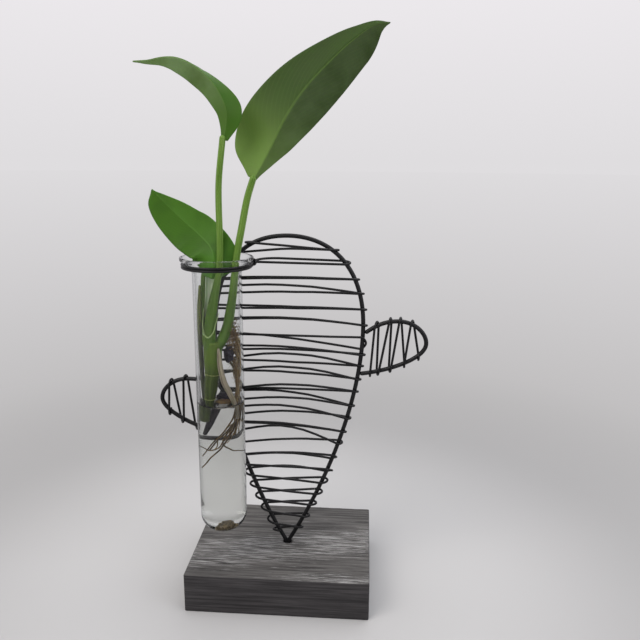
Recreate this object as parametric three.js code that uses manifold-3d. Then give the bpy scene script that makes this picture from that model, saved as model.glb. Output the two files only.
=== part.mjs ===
// Hydroponic planter: a leaf cutting in a glass tube that hangs from a cactus-shaped wire stand.
// Millimetres, +Z up. The origin is the centre of the wooden block's underside, +X is to the right
// of the front view and +Y runs to the back.
import * as THREE from 'three';
import { mergeVertices } from 'three/addons/utils/BufferGeometryUtils.js';
import Module from 'manifold-3d';

const wasm = await Module();
wasm.setup();

// Running clearance between pieces that seat on each other
const SEAT_GAP = 0.3;

// Wooden block
const BLOCK_WIDTH = 100;
const BLOCK_DEPTH = 77.4;
const BLOCK_HEIGHT = 22.5;
const BLOCK_CORNER_RADIUS = 1.6;
const BLOCK_EDGE_BEVEL = 0.8;

// Wires
const FRAME_WIRE_DIAMETER = 2.2;
const FRAME_WIRE_SIDES = 8;
const WINDING_WIRE_DIAMETER = 1.2;
const WINDING_WIRE_SIDES = 6;
const WRAP_STEPS = 6;
const STRAND_STEPS = 4;

// Body outline: a pointed teardrop that stands on edge in the frame plane. Heights in the frame are
// above the block's top. Each side is a pair of cubic curves through its belly, and the pulls say how
// much of the way to the next knot each curve's handle reaches.
const FRAME_PLANE_Y = -1.4;
const FOOT_X = 2.15;
const FOOT_HOLE_DEPTH = 14;
const FOOT_BEND_HEIGHT = 1.5;
const FOOT_SPREAD_DEG = 30;
const OUTLINE_HEIGHT = 178.7;
const OUTLINE_TOP_X = 3;
const RIGHT_BELLY = {
  reach: 40.5, height: 0.73, pullFoot: 0.29, pullDown: 0.34, pullUp: 0.675, pullTop: 0.56,
};
const LEFT_BELLY = {
  reach: 40.4, height: 0.663, pullFoot: 0.32, pullDown: 0.22, pullUp: 0.656, pullTop: 0.69,
};

// Body winding: the turns run down the frame from the top, a little closer near the foot
const WINDING_TURNS = 22;
const WINDING_TOP_DROP = 6.4;
const WINDING_FOOT_RISE = 8.7;
const WINDING_SAG = 1.8;
const STRAND_BOW_ENDS = 0.5;
const STRAND_BOW_MIDDLE = 2.4;
const RING_TURN = 1;

// Arms: the winding turns, counted from the top, between which they leave the outline, and the places
// of their highest point and tip
const RIGHT_ARM = { upperTurn: 5.6, lowerTurn: 8.6, topX: 62.5, top: 133.9, tipX: 77.4, tip: 121.9 };
const LEFT_ARM = { upperTurn: 9.94, lowerTurn: 13.94, topX: -53, top: 98.3, tipX: -68.3, tip: 86.5 };
const ARM_END_SLANT = 0.65;
const RIGHT_ARM_LACING = { turns: 4, tipInset: 30, pitch: 6.5, front: 0.42, over: 0.3, back: 0.02 };
const LEFT_ARM_LACING = { turns: 3, tipInset: 4.1, pitch: 8.2, front: 0.08, over: 0.16, back: 0.4 };

// Glass tube, hung by its flared lip
const TUBE_X = -30.5;
const TUBE_FRAME_GAP = 0.5;
const TUBE_LENGTH = 150;
const TUBE_DIAMETER = 25;
const TUBE_WALL = 1.2;
const TUBE_LIP_DIAMETER = 37;
const TUBE_LIP_ROLL = 1.5;
const TUBE_BOTTOM_RADIUS = 9.5;
const TUBE_SEGMENTS = 40;
const WATER_DEPTH = 71.5;

// Neck ring, close under the edge of the lip
const RING_LIP_INSET = 0.85;
const RING_HEIGHT = 164.7;
const RING_TURN_PITCH = 1.75;
const RING_TURN_STEPS = 24;
const RING_BEND_X = -8;

// Cutting
const STEM_TOP_DIAMETER = 9.5;
const STEM_CUT_DIAMETER = 4.4;
const STEM_TOP_DEPTH = 40;
const STEM_CUT_DEPTH = 89;
const PETIOLE_DIAMETER = 3.6;
const STALK_OF_BIG_LEAF = 1.2;
const SHEATH_TOP_WIDTH = 7.6;
const SHEATH_BASE_WIDTH = 4.8;
const ROOT_DIAMETER = 1.5;
const ROOT_TIP_DIAMETER = 0.7;
const ROOT_KNOT_DIAMETER = 2.6;
const AERIAL_ROOT_DIAMETER = 2.6;
const LEAF_THICKNESS = 0.8;
const LEAF_EDGE_THICKNESS = 0.35;
const LEAF_LEAST_HALF = 0.4;
const LEAF_STEPS = 22;
const BIG_LEAF_LENGTH = 100;
const LEFT_LEAF_LENGTH = 66;
const LOW_LEAF_LENGTH = 55;
const LITTER_LENGTH = 9.2;
const LITTER_WIDTH = 6.2;
const LITTER_THICKNESS = 2.2;

const FRAME_WIRE_RADIUS = FRAME_WIRE_DIAMETER / 2;
const WINDING_WIRE_RADIUS = WINDING_WIRE_DIAMETER / 2;
const WRAP_RADIUS = FRAME_WIRE_RADIUS + SEAT_GAP + WINDING_WIRE_RADIUS;
const LEG_OFFSET = (FRAME_WIRE_DIAMETER + SEAT_GAP) / 2;
const FOOT_HOLE_RADIUS = LEG_OFFSET + FRAME_WIRE_RADIUS + SEAT_GAP;
const OUTLINE_TOP_Z = BLOCK_HEIGHT + OUTLINE_HEIGHT;
const WINDING_TOP_Z = OUTLINE_TOP_Z - WINDING_TOP_DROP;
const WINDING_PITCH = (OUTLINE_HEIGHT - WINDING_TOP_DROP - WINDING_FOOT_RISE) / (WINDING_TURNS - 1);

// The lip's cone rests on the ring's upper turn, a seat gap clear of it.
const TUBE_RADIUS = TUBE_DIAMETER / 2;
const TUBE_BORE_RADIUS = TUBE_RADIUS - TUBE_WALL;
const LIP_RADIUS = TUBE_LIP_DIAMETER / 2;
const RING_RADIUS = LIP_RADIUS - RING_LIP_INSET;
const RING_LOWER_Z = BLOCK_HEIGHT + RING_HEIGHT;
const RING_UPPER_Z = RING_LOWER_Z + RING_TURN_PITCH;
const CONE_START_Z = RING_UPPER_Z - (RING_RADIUS - TUBE_RADIUS)
  + (WINDING_WIRE_RADIUS + SEAT_GAP) * Math.SQRT2;
const CONE_END_Z = CONE_START_Z + LIP_RADIUS - TUBE_RADIUS;
const RIM_Z = CONE_END_Z + TUBE_LIP_ROLL;
const TUBE_BOTTOM_Z = RIM_Z - TUBE_LENGTH;
const TUBE_Y = FRAME_PLANE_Y - FRAME_WIRE_RADIUS - TUBE_FRAME_GAP - LIP_RADIUS;
const WATER_LEVEL_Z = TUBE_BOTTOM_Z + TUBE_WALL + WATER_DEPTH;

const WIRE_BLACK = new THREE.MeshStandardMaterial({ color: '#131214', roughness: 0.42, metalness: 0.6 });
const STAINED_WOOD = new THREE.MeshStandardMaterial({ color: '#4e4c4a', roughness: 0.85, metalness: 0 });
const CLEAR_GLASS = new THREE.MeshStandardMaterial({
  color: '#e4ecea',
  roughness: 0.05,
  metalness: 0,
  transparent: true,
  opacity: 0.3,
});
const CLEAR_WATER = new THREE.MeshStandardMaterial({
  color: '#cfd8d4',
  roughness: 0.05,
  metalness: 0,
  transparent: true,
  opacity: 0.4,
});
const LEAF_GREEN = new THREE.MeshStandardMaterial({ color: '#3f6a24', roughness: 0.45, metalness: 0 });
const PETIOLE_GREEN = new THREE.MeshStandardMaterial({ color: '#7da64f', roughness: 0.5, metalness: 0 });
const STEM_OLIVE = new THREE.MeshStandardMaterial({ color: '#5d6b38', roughness: 0.6, metalness: 0 });
const ROOT_BROWN = new THREE.MeshStandardMaterial({ color: '#6b5436', roughness: 0.8, metalness: 0 });
const ROOT_PALE = new THREE.MeshStandardMaterial({ color: '#a79b80', roughness: 0.75, metalness: 0 });

const group = new THREE.Group();

const vec = (x, y, z) => new THREE.Vector3(x, y, z);
const lerp = THREE.MathUtils.lerp;
const radians = THREE.MathUtils.degToRad;

function signedVolume(geometry) {
  const position = geometry.getAttribute('position');
  const index = geometry.getIndex();
  const corner = [vec(0, 0, 0), vec(0, 0, 0), vec(0, 0, 0)];
  let volume = 0;
  for (let i = 0; i < index.count; i += 3) {
    corner.forEach((point, j) => point.fromBufferAttribute(position, index.getX(i + j)));
    volume += corner[0].dot(corner[1].clone().cross(corner[2])) / 6;
  }
  return volume;
}

// Shared vertices are merged and the faces of the closed body are turned outwards.
function closedBody(source) {
  const bare = source.clone();
  bare.deleteAttribute('normal');
  bare.deleteAttribute('uv');
  const merged = mergeVertices(bare, 1e-4);
  if (signedVolume(merged) < 0) {
    const index = merged.getIndex();
    for (let i = 0; i < index.count; i += 3) {
      const second = index.getX(i + 1);
      index.setX(i + 1, index.getX(i + 2));
      index.setX(i + 2, second);
    }
  }
  return merged;
}

function toManifold(source) {
  const body = closedBody(source);
  return new wasm.Manifold(new wasm.Mesh({
    numProp: 3,
    vertProperties: new Float32Array(body.getAttribute('position').array),
    triVerts: new Uint32Array(body.getIndex().array),
  }));
}

function fromManifold(solid) {
  const mesh = solid.getMesh();
  const geometry = new THREE.BufferGeometry();
  geometry.setAttribute('position', new THREE.BufferAttribute(mesh.vertProperties, 3));
  geometry.setIndex(new THREE.BufferAttribute(mesh.triVerts, 1));
  return geometry;
}

function addPiece(name, geometry, material) {
  const body = closedBody(geometry);
  body.computeVertexNormals();
  const mesh = new THREE.Mesh(body, material);
  mesh.name = name;
  group.add(mesh);
}

// A closed skin over rings of equally many points, with a fan of faces over each end
function loft(rings) {
  const count = rings[0].length;
  const points = rings.flat();
  const faces = [];
  for (let i = 0; i < rings.length - 1; i++) {
    for (let j = 0; j < count; j++) {
      const a = i * count + j;
      const b = i * count + (j + 1) % count;
      faces.push(a, b, b + count, a, b + count, a + count);
    }
  }
  for (const [ring, flip] of [[0, true], [rings.length - 1, false]]) {
    const hub = points.length;
    const centre = vec(0, 0, 0);
    rings[ring].forEach((point) => centre.addScaledVector(point, 1 / count));
    points.push(centre);
    for (let j = 0; j < count; j++) {
      const a = ring * count + j;
      const b = ring * count + (j + 1) % count;
      faces.push(...(flip ? [hub, b, a] : [hub, a, b]));
    }
  }
  const geometry = new THREE.BufferGeometry().setFromPoints(points);
  geometry.setIndex(faces);
  return geometry;
}

// Directions along a path at each of its points, and a sideways direction carried along untwisted
function pathFrames(points) {
  const tangents = points.map((_, i) => {
    const before = points[Math.max(i - 1, 0)];
    const after = points[Math.min(i + 1, points.length - 1)];
    return after.clone().sub(before).normalize();
  });
  const start = Math.abs(tangents[0].y) < 0.9 ? vec(0, 1, 0) : vec(1, 0, 0);
  const sides = [start.cross(tangents[0]).normalize()];
  for (let i = 1; i < points.length; i++) {
    const turn = new THREE.Quaternion().setFromUnitVectors(tangents[i - 1], tangents[i]);
    sides.push(sides[i - 1].clone().applyQuaternion(turn).normalize());
  }
  return { tangents, sides };
}

// A round rod along a list of points. radiusAt gives its radius for a share of the way, 0 to 1.
function sweep(points, radiusAt, sides, flatness = 1) {
  const frames = pathFrames(points);
  const rings = points.map((point, i) => {
    const across = frames.sides[i];
    const up = frames.tangents[i].clone().cross(across);
    const radius = radiusAt(i / (points.length - 1));
    return Array.from({ length: sides }, (_, j) => {
      const angle = 2 * Math.PI * j / sides;
      return point.clone()
        .addScaledVector(across, radius * Math.cos(angle))
        .addScaledVector(up, radius * flatness * Math.sin(angle));
    });
  });
  return loft(rings);
}

const taper = (start, end) => (share) => lerp(start, end, share);

function roundSection(radius, sides) {
  return new THREE.Shape(Array.from({ length: sides }, (_, j) => {
    const angle = 2 * Math.PI * j / sides;
    return new THREE.Vector2(radius * Math.cos(angle), radius * Math.sin(angle));
  }));
}

function bentWire(path, steps) {
  return new THREE.ExtrudeGeometry(roundSection(FRAME_WIRE_RADIUS, FRAME_WIRE_SIDES), {
    steps,
    extrudePath: path,
  });
}

function joined(curves) {
  const path = new THREE.CurvePath();
  curves.forEach((curve) => path.add(curve));
  return path;
}

// A point of the frame plane, by its height above the block
const inPlane = (x, height) => vec(x, FRAME_PLANE_Y, BLOCK_HEIGHT + height);

// One side of the outline, from its foot over its belly up to the top
function outlineSide(side, belly) {
  const spread = radians(FOOT_SPREAD_DEG);
  const footX = FOOT_X + side * LEG_OFFSET;
  const bellyX = OUTLINE_TOP_X + side * belly.reach;
  const bellyHeight = belly.height * OUTLINE_HEIGHT;
  const footPull = belly.pullFoot * bellyHeight;
  const foot = inPlane(footX, FOOT_BEND_HEIGHT);
  const widest = inPlane(bellyX, bellyHeight);
  return [
    new THREE.CubicBezierCurve3(
      foot,
      inPlane(footX + side * footPull * Math.sin(spread), FOOT_BEND_HEIGHT + footPull * Math.cos(spread)),
      inPlane(bellyX, bellyHeight * (1 - belly.pullDown)),
      widest,
    ),
    new THREE.CubicBezierCurve3(
      widest,
      inPlane(bellyX, lerp(bellyHeight, OUTLINE_HEIGHT, belly.pullUp)),
      inPlane(OUTLINE_TOP_X + side * belly.reach * belly.pullTop, OUTLINE_HEIGHT),
      inPlane(OUTLINE_TOP_X, OUTLINE_HEIGHT),
    ),
  ];
}

const leftSide = outlineSide(-1, LEFT_BELLY);
const rightSide = outlineSide(1, RIGHT_BELLY);
const leftRail = joined(leftSide);
const rightRail = joined(rightSide);

const reversed = (curve) => new THREE.CubicBezierCurve3(curve.v3, curve.v2, curve.v1, curve.v0);

// The lower end of a leg, close over the floor of the foot hole
const legEnd = (foot) => inPlane(foot.x, SEAT_GAP - FOOT_HOLE_DEPTH);

// The place on a rail where its coordinate named by axis reaches a value. The coordinate only grows
// or only falls along the rail. steepness is the share of the rail's direction that lies along axis.
function railAt(rail, axis, value) {
  const rising = rail.getPoint(1)[axis] > rail.getPoint(0)[axis];
  let low = 0;
  let high = 1;
  for (let i = 0; i < 30; i++) {
    const middle = (low + high) / 2;
    if ((rail.getPoint(middle)[axis] < value) === rising) {
      low = middle;
    } else {
      high = middle;
    }
  }
  return { point: rail.getPoint(low), steepness: Math.max(Math.abs(rail.getTangent(low)[axis]), 0.4) };
}

// Half a turn of thin wire round a rail, over its outer side, from one face of the frame to the other
function wrapPoints({ rail, axis, outward }, from, to, fromFront) {
  const across = axis === 'z' ? 'x' : 'z';
  const face = fromFront ? -1 : 1;
  return Array.from({ length: WRAP_STEPS + 1 }, (_, i) => {
    const share = i / WRAP_STEPS;
    const at = railAt(rail, axis, lerp(from, to, share));
    const point = at.point.clone();
    point.y = FRAME_PLANE_Y + face * WRAP_RADIUS * Math.cos(Math.PI * share);
    point[across] += outward * WRAP_RADIUS / at.steepness * Math.sin(Math.PI * share);
    return point;
  });
}

// The inner points of a strand between two wraps, bowed up a little at mid length
function strandPoints(start, end, bow) {
  return Array.from({ length: STRAND_STEPS - 1 }, (_, i) => {
    const share = (i + 1) / STRAND_STEPS;
    const point = start.clone().lerp(end, share);
    point.z += bow * Math.sin(Math.PI * share);
    return point;
  });
}

// Winds a thin wire over two rails. Each turn names, along the rails, where its front strand starts on
// the first rail and ends on the second, and where its back strand starts on the second and ends on
// the first.
function windingPath(first, second, turns) {
  const path = wrapPoints(first, turns[0].start, turns[0].start, false);
  turns.forEach((turn, i) => {
    const over = wrapPoints(second, turn.far, turn.farBack, true);
    path.push(...strandPoints(path.at(-1), over[0], turn.frontBow), ...over);
    const next = turns[i + 1] ?? { start: turn.nearBack };
    const under = wrapPoints(first, turn.nearBack, next.start, false);
    path.push(...strandPoints(over.at(-1), under[0], turn.backBow), ...under);
  });
  return path;
}

// Straightens both ends of a wire for one wire diameter
function withStraightEnds(path) {
  const before = path[0].clone().sub(path[1]).setLength(WINDING_WIRE_DIAMETER);
  const after = path.at(-1).clone().sub(path.at(-2)).setLength(WINDING_WIRE_DIAMETER);
  return [path[0].clone().add(before), ...path, path.at(-1).clone().add(after)];
}

// The least clear gap between stretches of one wire, measured between points half a millimetre apart
function leastSelfGap(path) {
  const fine = [];
  let run = 0;
  for (let i = 0; i < path.length - 1; i++) {
    const length = path[i].distanceTo(path[i + 1]);
    const parts = Math.max(1, Math.ceil(length / 0.5));
    for (let j = 0; j < parts; j++) {
      fine.push({ point: path[i].clone().lerp(path[i + 1], j / parts), run: run + length * j / parts });
    }
    run += length;
  }
  const apart = 4 * WINDING_WIRE_DIAMETER;
  let least = Infinity;
  for (let i = 0; i < fine.length; i++) {
    for (let j = i + 1; j < fine.length; j++) {
      if (fine[j].run - fine[i].run > apart) {
        least = Math.min(least, fine[i].point.distanceToSquared(fine[j].point));
      }
    }
  }
  return Math.sqrt(least) - WINDING_WIRE_DIAMETER;
}

function addWinding(name, path) {
  const whole = withStraightEnds(path);
  console.log(`${name}: least self-gap ${leastSelfGap(whole).toFixed(2)} mm`);
  addPiece(name, sweep(whole, () => WINDING_WIRE_RADIUS, WINDING_WIRE_SIDES), WIRE_BLACK);
}

// Height of the body winding at the right side for a turn counted from 0 at the top
function turnHeight(turn) {
  const share = turn / (WINDING_TURNS - 1);
  return WINDING_TOP_Z - WINDING_PITCH * turn - WINDING_SAG * Math.sin(Math.PI * share);
}

function bodyTurn(turn) {
  const share = turn / (WINDING_TURNS - 1);
  const right = turnHeight(turn);
  return {
    start: right + 0.25 * WINDING_PITCH,
    far: right,
    farBack: right - 0.13 * WINDING_PITCH,
    nearBack: right - 0.13 * WINDING_PITCH,
    frontBow: STRAND_BOW_ENDS + STRAND_BOW_MIDDLE * Math.sin(Math.PI * share) ** 2,
    backBow: STRAND_BOW_ENDS,
  };
}

function addBlock() {
  const inset = BLOCK_EDGE_BEVEL;
  const halfWidth = BLOCK_WIDTH / 2 - inset;
  const halfDepth = BLOCK_DEPTH / 2 - inset;
  const radius = BLOCK_CORNER_RADIUS - inset;
  const outline = new THREE.Shape();
  outline.moveTo(halfWidth, radius - halfDepth);
  outline.absarc(halfWidth - radius, halfDepth - radius, radius, 0, Math.PI / 2);
  outline.absarc(radius - halfWidth, halfDepth - radius, radius, Math.PI / 2, Math.PI);
  outline.absarc(radius - halfWidth, radius - halfDepth, radius, Math.PI, 1.5 * Math.PI);
  outline.absarc(halfWidth - radius, radius - halfDepth, radius, 1.5 * Math.PI, 2 * Math.PI);
  const timber = new THREE.ExtrudeGeometry(outline, {
    depth: BLOCK_HEIGHT - 2 * inset,
    bevelThickness: inset,
    bevelSize: inset,
    bevelSegments: 1,
    curveSegments: 4,
  });
  timber.translate(0, 0, inset);
  const drill = new THREE.CylinderGeometry(FOOT_HOLE_RADIUS, FOOT_HOLE_RADIUS, 2 * FOOT_HOLE_DEPTH, 24);
  drill.rotateX(Math.PI / 2);
  drill.translate(FOOT_X, FRAME_PLANE_Y, BLOCK_HEIGHT);
  addPiece('wooden_block', fromManifold(toManifold(timber).subtract(toManifold(drill))), STAINED_WOOD);
}

function addOutline() {
  const leftFoot = leftSide[0].v0;
  const rightFoot = rightSide[0].v0;
  const path = joined([
    new THREE.LineCurve3(legEnd(leftFoot), leftFoot),
    ...leftSide,
    ...rightSide.map(reversed).reverse(),
    new THREE.LineCurve3(rightFoot, legEnd(rightFoot)),
  ]);
  addPiece('body_outline_wire', bentWire(path, 120), WIRE_BLACK);
}

// An arm leaves the outline between two turns of the winding, runs over its top to its tip and comes
// back along its underside. Its upper and lower runs are the rails of its lacing.
function armCurves(side, rail, arm) {
  const seat = FRAME_WIRE_RADIUS * (1 + ARM_END_SLANT) + SEAT_GAP;
  const [upper, lower] = [arm.upperTurn, arm.lowerTurn].map((turn) => {
    const point = railAt(rail, 'z', turnHeight(turn)).point;
    return inPlane(point.x + side * seat, point.z - BLOCK_HEIGHT);
  });
  const reach = arm.tipX - arm.topX;
  const rise = arm.top - arm.tip;
  const lowerHeight = lower.z - BLOCK_HEIGHT;
  const top = inPlane(arm.topX, arm.top);
  const tip = inPlane(arm.tipX, arm.tip);
  return {
    over: new THREE.CubicBezierCurve3(
      upper,
      inPlane(lerp(upper.x, arm.topX, 0.3), lerp(upper.z - BLOCK_HEIGHT, arm.top, 0.6)),
      inPlane(arm.topX - reach * 0.5, arm.top),
      top,
    ),
    shoulder: new THREE.CubicBezierCurve3(
      top,
      inPlane(arm.topX + reach * 0.55, arm.top),
      inPlane(arm.tipX, arm.tip + rise * 0.5),
      tip,
    ),
    under: new THREE.CubicBezierCurve3(
      tip,
      inPlane(arm.tipX, arm.tip - Math.abs(reach) * 0.55),
      inPlane(lerp(arm.tipX, lower.x, 0.55), lerp(lowerHeight, arm.tip, 0.12)),
      lower,
    ),
  };
}

function armTurn(lacing, startX, turn) {
  const start = startX + lacing.pitch * turn;
  const far = start + lacing.front * lacing.pitch;
  const farBack = far + lacing.over * lacing.pitch;
  return { start, far, farBack, nearBack: farBack + lacing.back * lacing.pitch, frontBow: 0, backBow: 0 };
}

function addArm(name, side, rail, arm, lacing) {
  const { over, shoulder, under } = armCurves(side, rail, arm);
  addPiece(`${name}_wire`, bentWire(joined([over, shoulder, under]), 44), WIRE_BLACK);
  const lowerRail = { rail: under, axis: 'x', outward: -1 };
  const upperRail = { rail: joined([over, shoulder]), axis: 'x', outward: 1 };
  const startX = arm.tipX - side * lacing.tipInset;
  const turns = Array.from({ length: lacing.turns }, (_, turn) => armTurn(lacing, startX, turn));
  addWinding(`${name}_winding`, windingPath(lowerRail, upperRail, turns));
}

// The main winding of the frame. The neck ring's hook takes the place of one of its turns.
function addBodyWinding() {
  const turns = Array.from({ length: WINDING_TURNS }, (_, turn) => bodyTurn(turn))
    .filter((_, turn) => turn !== RING_TURN);
  const left = { rail: leftRail, axis: 'z', outward: -1 };
  const right = { rail: rightRail, axis: 'z', outward: 1 };
  addWinding('body_winding_wire', windingPath(left, right, turns));
}

const aroundTube = (radius, degrees, z) => vec(
  TUBE_X + radius * Math.cos(radians(degrees)),
  TUBE_Y + radius * Math.sin(radians(degrees)),
  z,
);

// Curls a free end round another strand. place turns a share of the way along that strand and the
// offsets outwards and upwards from it into a point.
function curlPoints(place, from, to, steps) {
  return Array.from({ length: steps + 1 }, (_, i) => {
    const angle = radians(lerp(from, to, i / steps));
    return place(i / steps, RING_TURN_PITCH * Math.cos(angle), RING_TURN_PITCH * Math.sin(angle));
  });
}

// One thin wire: it hooks round the outline's right side, and its two tails circle the tube's neck in
// opposite directions, one above the other. Each free end curls round the other tail.
function addRing() {
  const rightX = TUBE_X + RING_RADIUS;
  const frontY = FRAME_PLANE_Y - WRAP_RADIUS;
  const backY = FRAME_PLANE_Y + WRAP_RADIUS;
  const curlY = TUBE_Y + RING_RADIUS * 0.4;
  const curlLength = 2 * RING_TURN_PITCH;
  const rightCurl = curlPoints(
    (share, out, up) => vec(rightX + out, curlY + curlLength * (1 - share), RING_UPPER_Z + up),
    300,
    -90,
    13,
  );
  const lowerTurn = Array.from({ length: RING_TURN_STEPS + 1 }, (_, i) => (
    aroundTube(RING_RADIUS, lerp(0, -270, i / RING_TURN_STEPS), RING_LOWER_Z)
  ));
  const hookZ = turnHeight(RING_TURN);
  const hookRail = { rail: rightRail, axis: 'z', outward: 1 };
  const hook = wrapPoints(hookRail, hookZ, hookZ + WINDING_WIRE_DIAMETER, true);
  const frontTail = [
    vec(
      lerp(TUBE_X, RING_BEND_X, 0.36),
      lerp(lowerTurn.at(-1).y, frontY, 0.5),
      lerp(RING_LOWER_Z, hookZ, 0.15),
    ),
    vec(RING_BEND_X, frontY, lerp(RING_LOWER_Z, hookZ, 0.4)),
    vec(lerp(RING_BEND_X, hook[0].x, 0.5), frontY, lerp(RING_LOWER_Z, hookZ, 0.7)),
  ];
  const bend = new THREE.CubicBezierCurve3(
    vec(RING_BEND_X + 6, backY, RING_UPPER_Z),
    vec(RING_BEND_X - 2, backY, RING_UPPER_Z),
    vec(rightX, lerp(curlY + curlLength, backY, 0.6), RING_UPPER_Z),
    vec(rightX, curlY + curlLength, RING_UPPER_Z),
  );
  const backTail = [
    vec(lerp(RING_BEND_X, hook.at(-1).x, 0.5), backY, lerp(RING_UPPER_Z, hook.at(-1).z, 0.4)),
    ...bend.getPoints(7),
    vec(rightX, lerp(TUBE_Y, curlY, 0.6), RING_UPPER_Z),
  ];
  const upperTurn = Array.from({ length: 17 }, (_, i) => (
    aroundTube(RING_RADIUS, lerp(0, -180, i / 16), RING_UPPER_Z)
  ));
  const leftCurl = curlPoints(
    (share, out, up) => aroundTube(RING_RADIUS + out, lerp(-184, -197, share), RING_LOWER_Z + up),
    90,
    -150,
    9,
  );
  addWinding('tube_ring', [
    ...rightCurl, ...lowerTurn, ...frontTail, ...hook, ...backTail, ...upperTurn, ...leftCurl,
  ]);
}

function latheAtTube(profile) {
  const geometry = new THREE.LatheGeometry(profile.map(([r, z]) => new THREE.Vector2(r, z)), TUBE_SEGMENTS);
  geometry.rotateX(Math.PI / 2);
  geometry.translate(TUBE_X, TUBE_Y, 0);
  return geometry;
}

// Points of an arc in the tube's profile, from one direction to another, in degrees
function profileArc(centreR, centreZ, radius, from, to, steps) {
  return Array.from({ length: steps + 1 }, (_, i) => {
    const angle = radians(lerp(from, to, i / steps));
    return [centreR + radius * Math.cos(angle), centreZ + radius * Math.sin(angle)];
  });
}

function addGlassTube() {
  const flat = TUBE_RADIUS - TUBE_BOTTOM_RADIUS;
  const centreZ = TUBE_BOTTOM_Z + TUBE_BOTTOM_RADIUS;
  const roll = TUBE_WALL / 2;
  const slope = TUBE_WALL / Math.SQRT2;
  const innerConeStart = CONE_START_Z + TUBE_WALL * (Math.SQRT2 - 1);
  const profile = [
    [0, TUBE_BOTTOM_Z],
    ...profileArc(flat, centreZ, TUBE_BOTTOM_RADIUS, -90, 0, 7),
    [TUBE_RADIUS, CONE_START_Z],
    [LIP_RADIUS, CONE_END_Z],
    ...profileArc(LIP_RADIUS - roll, RIM_Z - roll, roll, 0, 180, 5),
    [LIP_RADIUS - TUBE_WALL, CONE_END_Z + slope * 0.6],
    [TUBE_BORE_RADIUS, innerConeStart],
    ...profileArc(flat, centreZ, TUBE_BOTTOM_RADIUS - TUBE_WALL, 0, -90, 6),
    [0, TUBE_BOTTOM_Z + TUBE_WALL],
  ];
  addPiece('glass_tube', latheAtTube(profile), CLEAR_GLASS);
}

// The water fills the bore and lies clear of every root and of the litter on the bottom.
function addWater(wetPieces) {
  const flat = TUBE_RADIUS - TUBE_BOTTOM_RADIUS;
  const centreZ = TUBE_BOTTOM_Z + TUBE_BOTTOM_RADIUS;
  const profile = [
    [0, TUBE_BOTTOM_Z + TUBE_WALL + SEAT_GAP],
    ...profileArc(flat, centreZ, TUBE_BOTTOM_RADIUS - TUBE_WALL - SEAT_GAP, -90, 0, 6),
    [TUBE_BORE_RADIUS - SEAT_GAP, WATER_LEVEL_Z],
    [0, WATER_LEVEL_Z],
  ];
  const column = toManifold(latheAtTube(profile));
  const wet = wetPieces.reduce((water, piece) => water.subtract(toManifold(piece)), column);
  addPiece('water', fromManifold(wet), CLEAR_WATER);
}

const smooth = (points, steps) => new THREE.CatmullRomCurve3(points).getPoints(steps);

// A tapered rod along a smooth route. A thicker and longer copy of it cuts the water clear of it.
function rod({ route, steps, thick, thin, sides }, extra = 0) {
  const path = smooth(route, steps);
  const last = path.length - 1;
  const ahead = path[last].clone().sub(path[last - 1]).setLength(extra);
  const behind = path[0].clone().sub(path[1]).setLength(extra);
  path[last].add(ahead);
  path[0].add(behind);
  return sweep(path, taper(thick / 2 + extra, thin / 2 + extra), sides);
}

// A point inside the tube, from the middle of its mouth
const inTube = (x, y, depth) => vec(TUBE_X + x, TUBE_Y + y, RIM_Z - depth);

const STEM = {
  route: [
    inTube(-2.2, 0, STEM_TOP_DEPTH),
    inTube(-2.9, 0, lerp(STEM_TOP_DEPTH, STEM_CUT_DEPTH, 0.1)),
    inTube(-3.5, 0.2, lerp(STEM_TOP_DEPTH, STEM_CUT_DEPTH, 0.31)),
    inTube(-4.4, 0.4, lerp(STEM_TOP_DEPTH, STEM_CUT_DEPTH, 0.63)),
    inTube(-6, 0.5, STEM_CUT_DEPTH),
  ],
  steps: 11,
  thick: STEM_TOP_DIAMETER,
  thin: STEM_CUT_DIAMETER,
  sides: 8,
};

// The centre of a round thing that sits on the stem's side at a depth, seen from above at an angle
function besideStem(depth, degrees, diameter) {
  const path = smooth(STEM.route, 60);
  const nearest = path.findIndex((point) => point.z <= RIM_Z - depth);
  const radius = lerp(STEM.thick, STEM.thin, nearest / 60) / 2 + SEAT_GAP + diameter / 2;
  return path[nearest].clone().add(vec(
    radius * Math.cos(radians(degrees)),
    radius * Math.sin(radians(degrees)),
    0,
  ));
}

const aerialStart = besideStem(52, -60, AERIAL_ROOT_DIAMETER);
const bundleKnot = besideStem(45, 42, ROOT_KNOT_DIAMETER);
const trailingKnot = besideStem(45, -50, ROOT_KNOT_DIAMETER);

const AERIAL_ROOT = {
  route: [aerialStart, inTube(3.6, -5.6, 61), inTube(6.6, -5.2, 69.5), inTube(8.6, -4.2, 80)],
  steps: 12,
  thick: AERIAL_ROOT_DIAMETER,
  thin: AERIAL_ROOT_DIAMETER * 0.6,
  sides: 6,
};
const BUNDLE_ROUTES = [
  [bundleKnot, inTube(7.6, 3, 54), inTube(7, 3.4, 68), inTube(5, 2.6, 84), inTube(0.5, 1, 98)],
  [bundleKnot, inTube(5.8, 5.4, 58), inTube(4.2, 6.2, 76), inTube(0, 5.6, 92), inTube(-5, 3, 104)],
  [bundleKnot, inTube(4.6, 4.4, 60), inTube(2.6, 4.4, 80), inTube(3.6, 3.6, 96)],
];
const TRAILING_ROUTES = [
  [trailingKnot, inTube(5.4, -4.4, 54), inTube(6.8, -2.8, 70), inTube(5, -2.2, 84), inTube(-1, -2.6, 95),
    inTube(-8, -3, 106)],
  [trailingKnot, inTube(7.6, -3.4, 56), inTube(8.6, -2, 72), inTube(6.6, 0.2, 88), inTube(2, -0.6, 100),
    inTube(-4, 0.4, 108), inTube(-8, -0.2, 114)],
];

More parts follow.
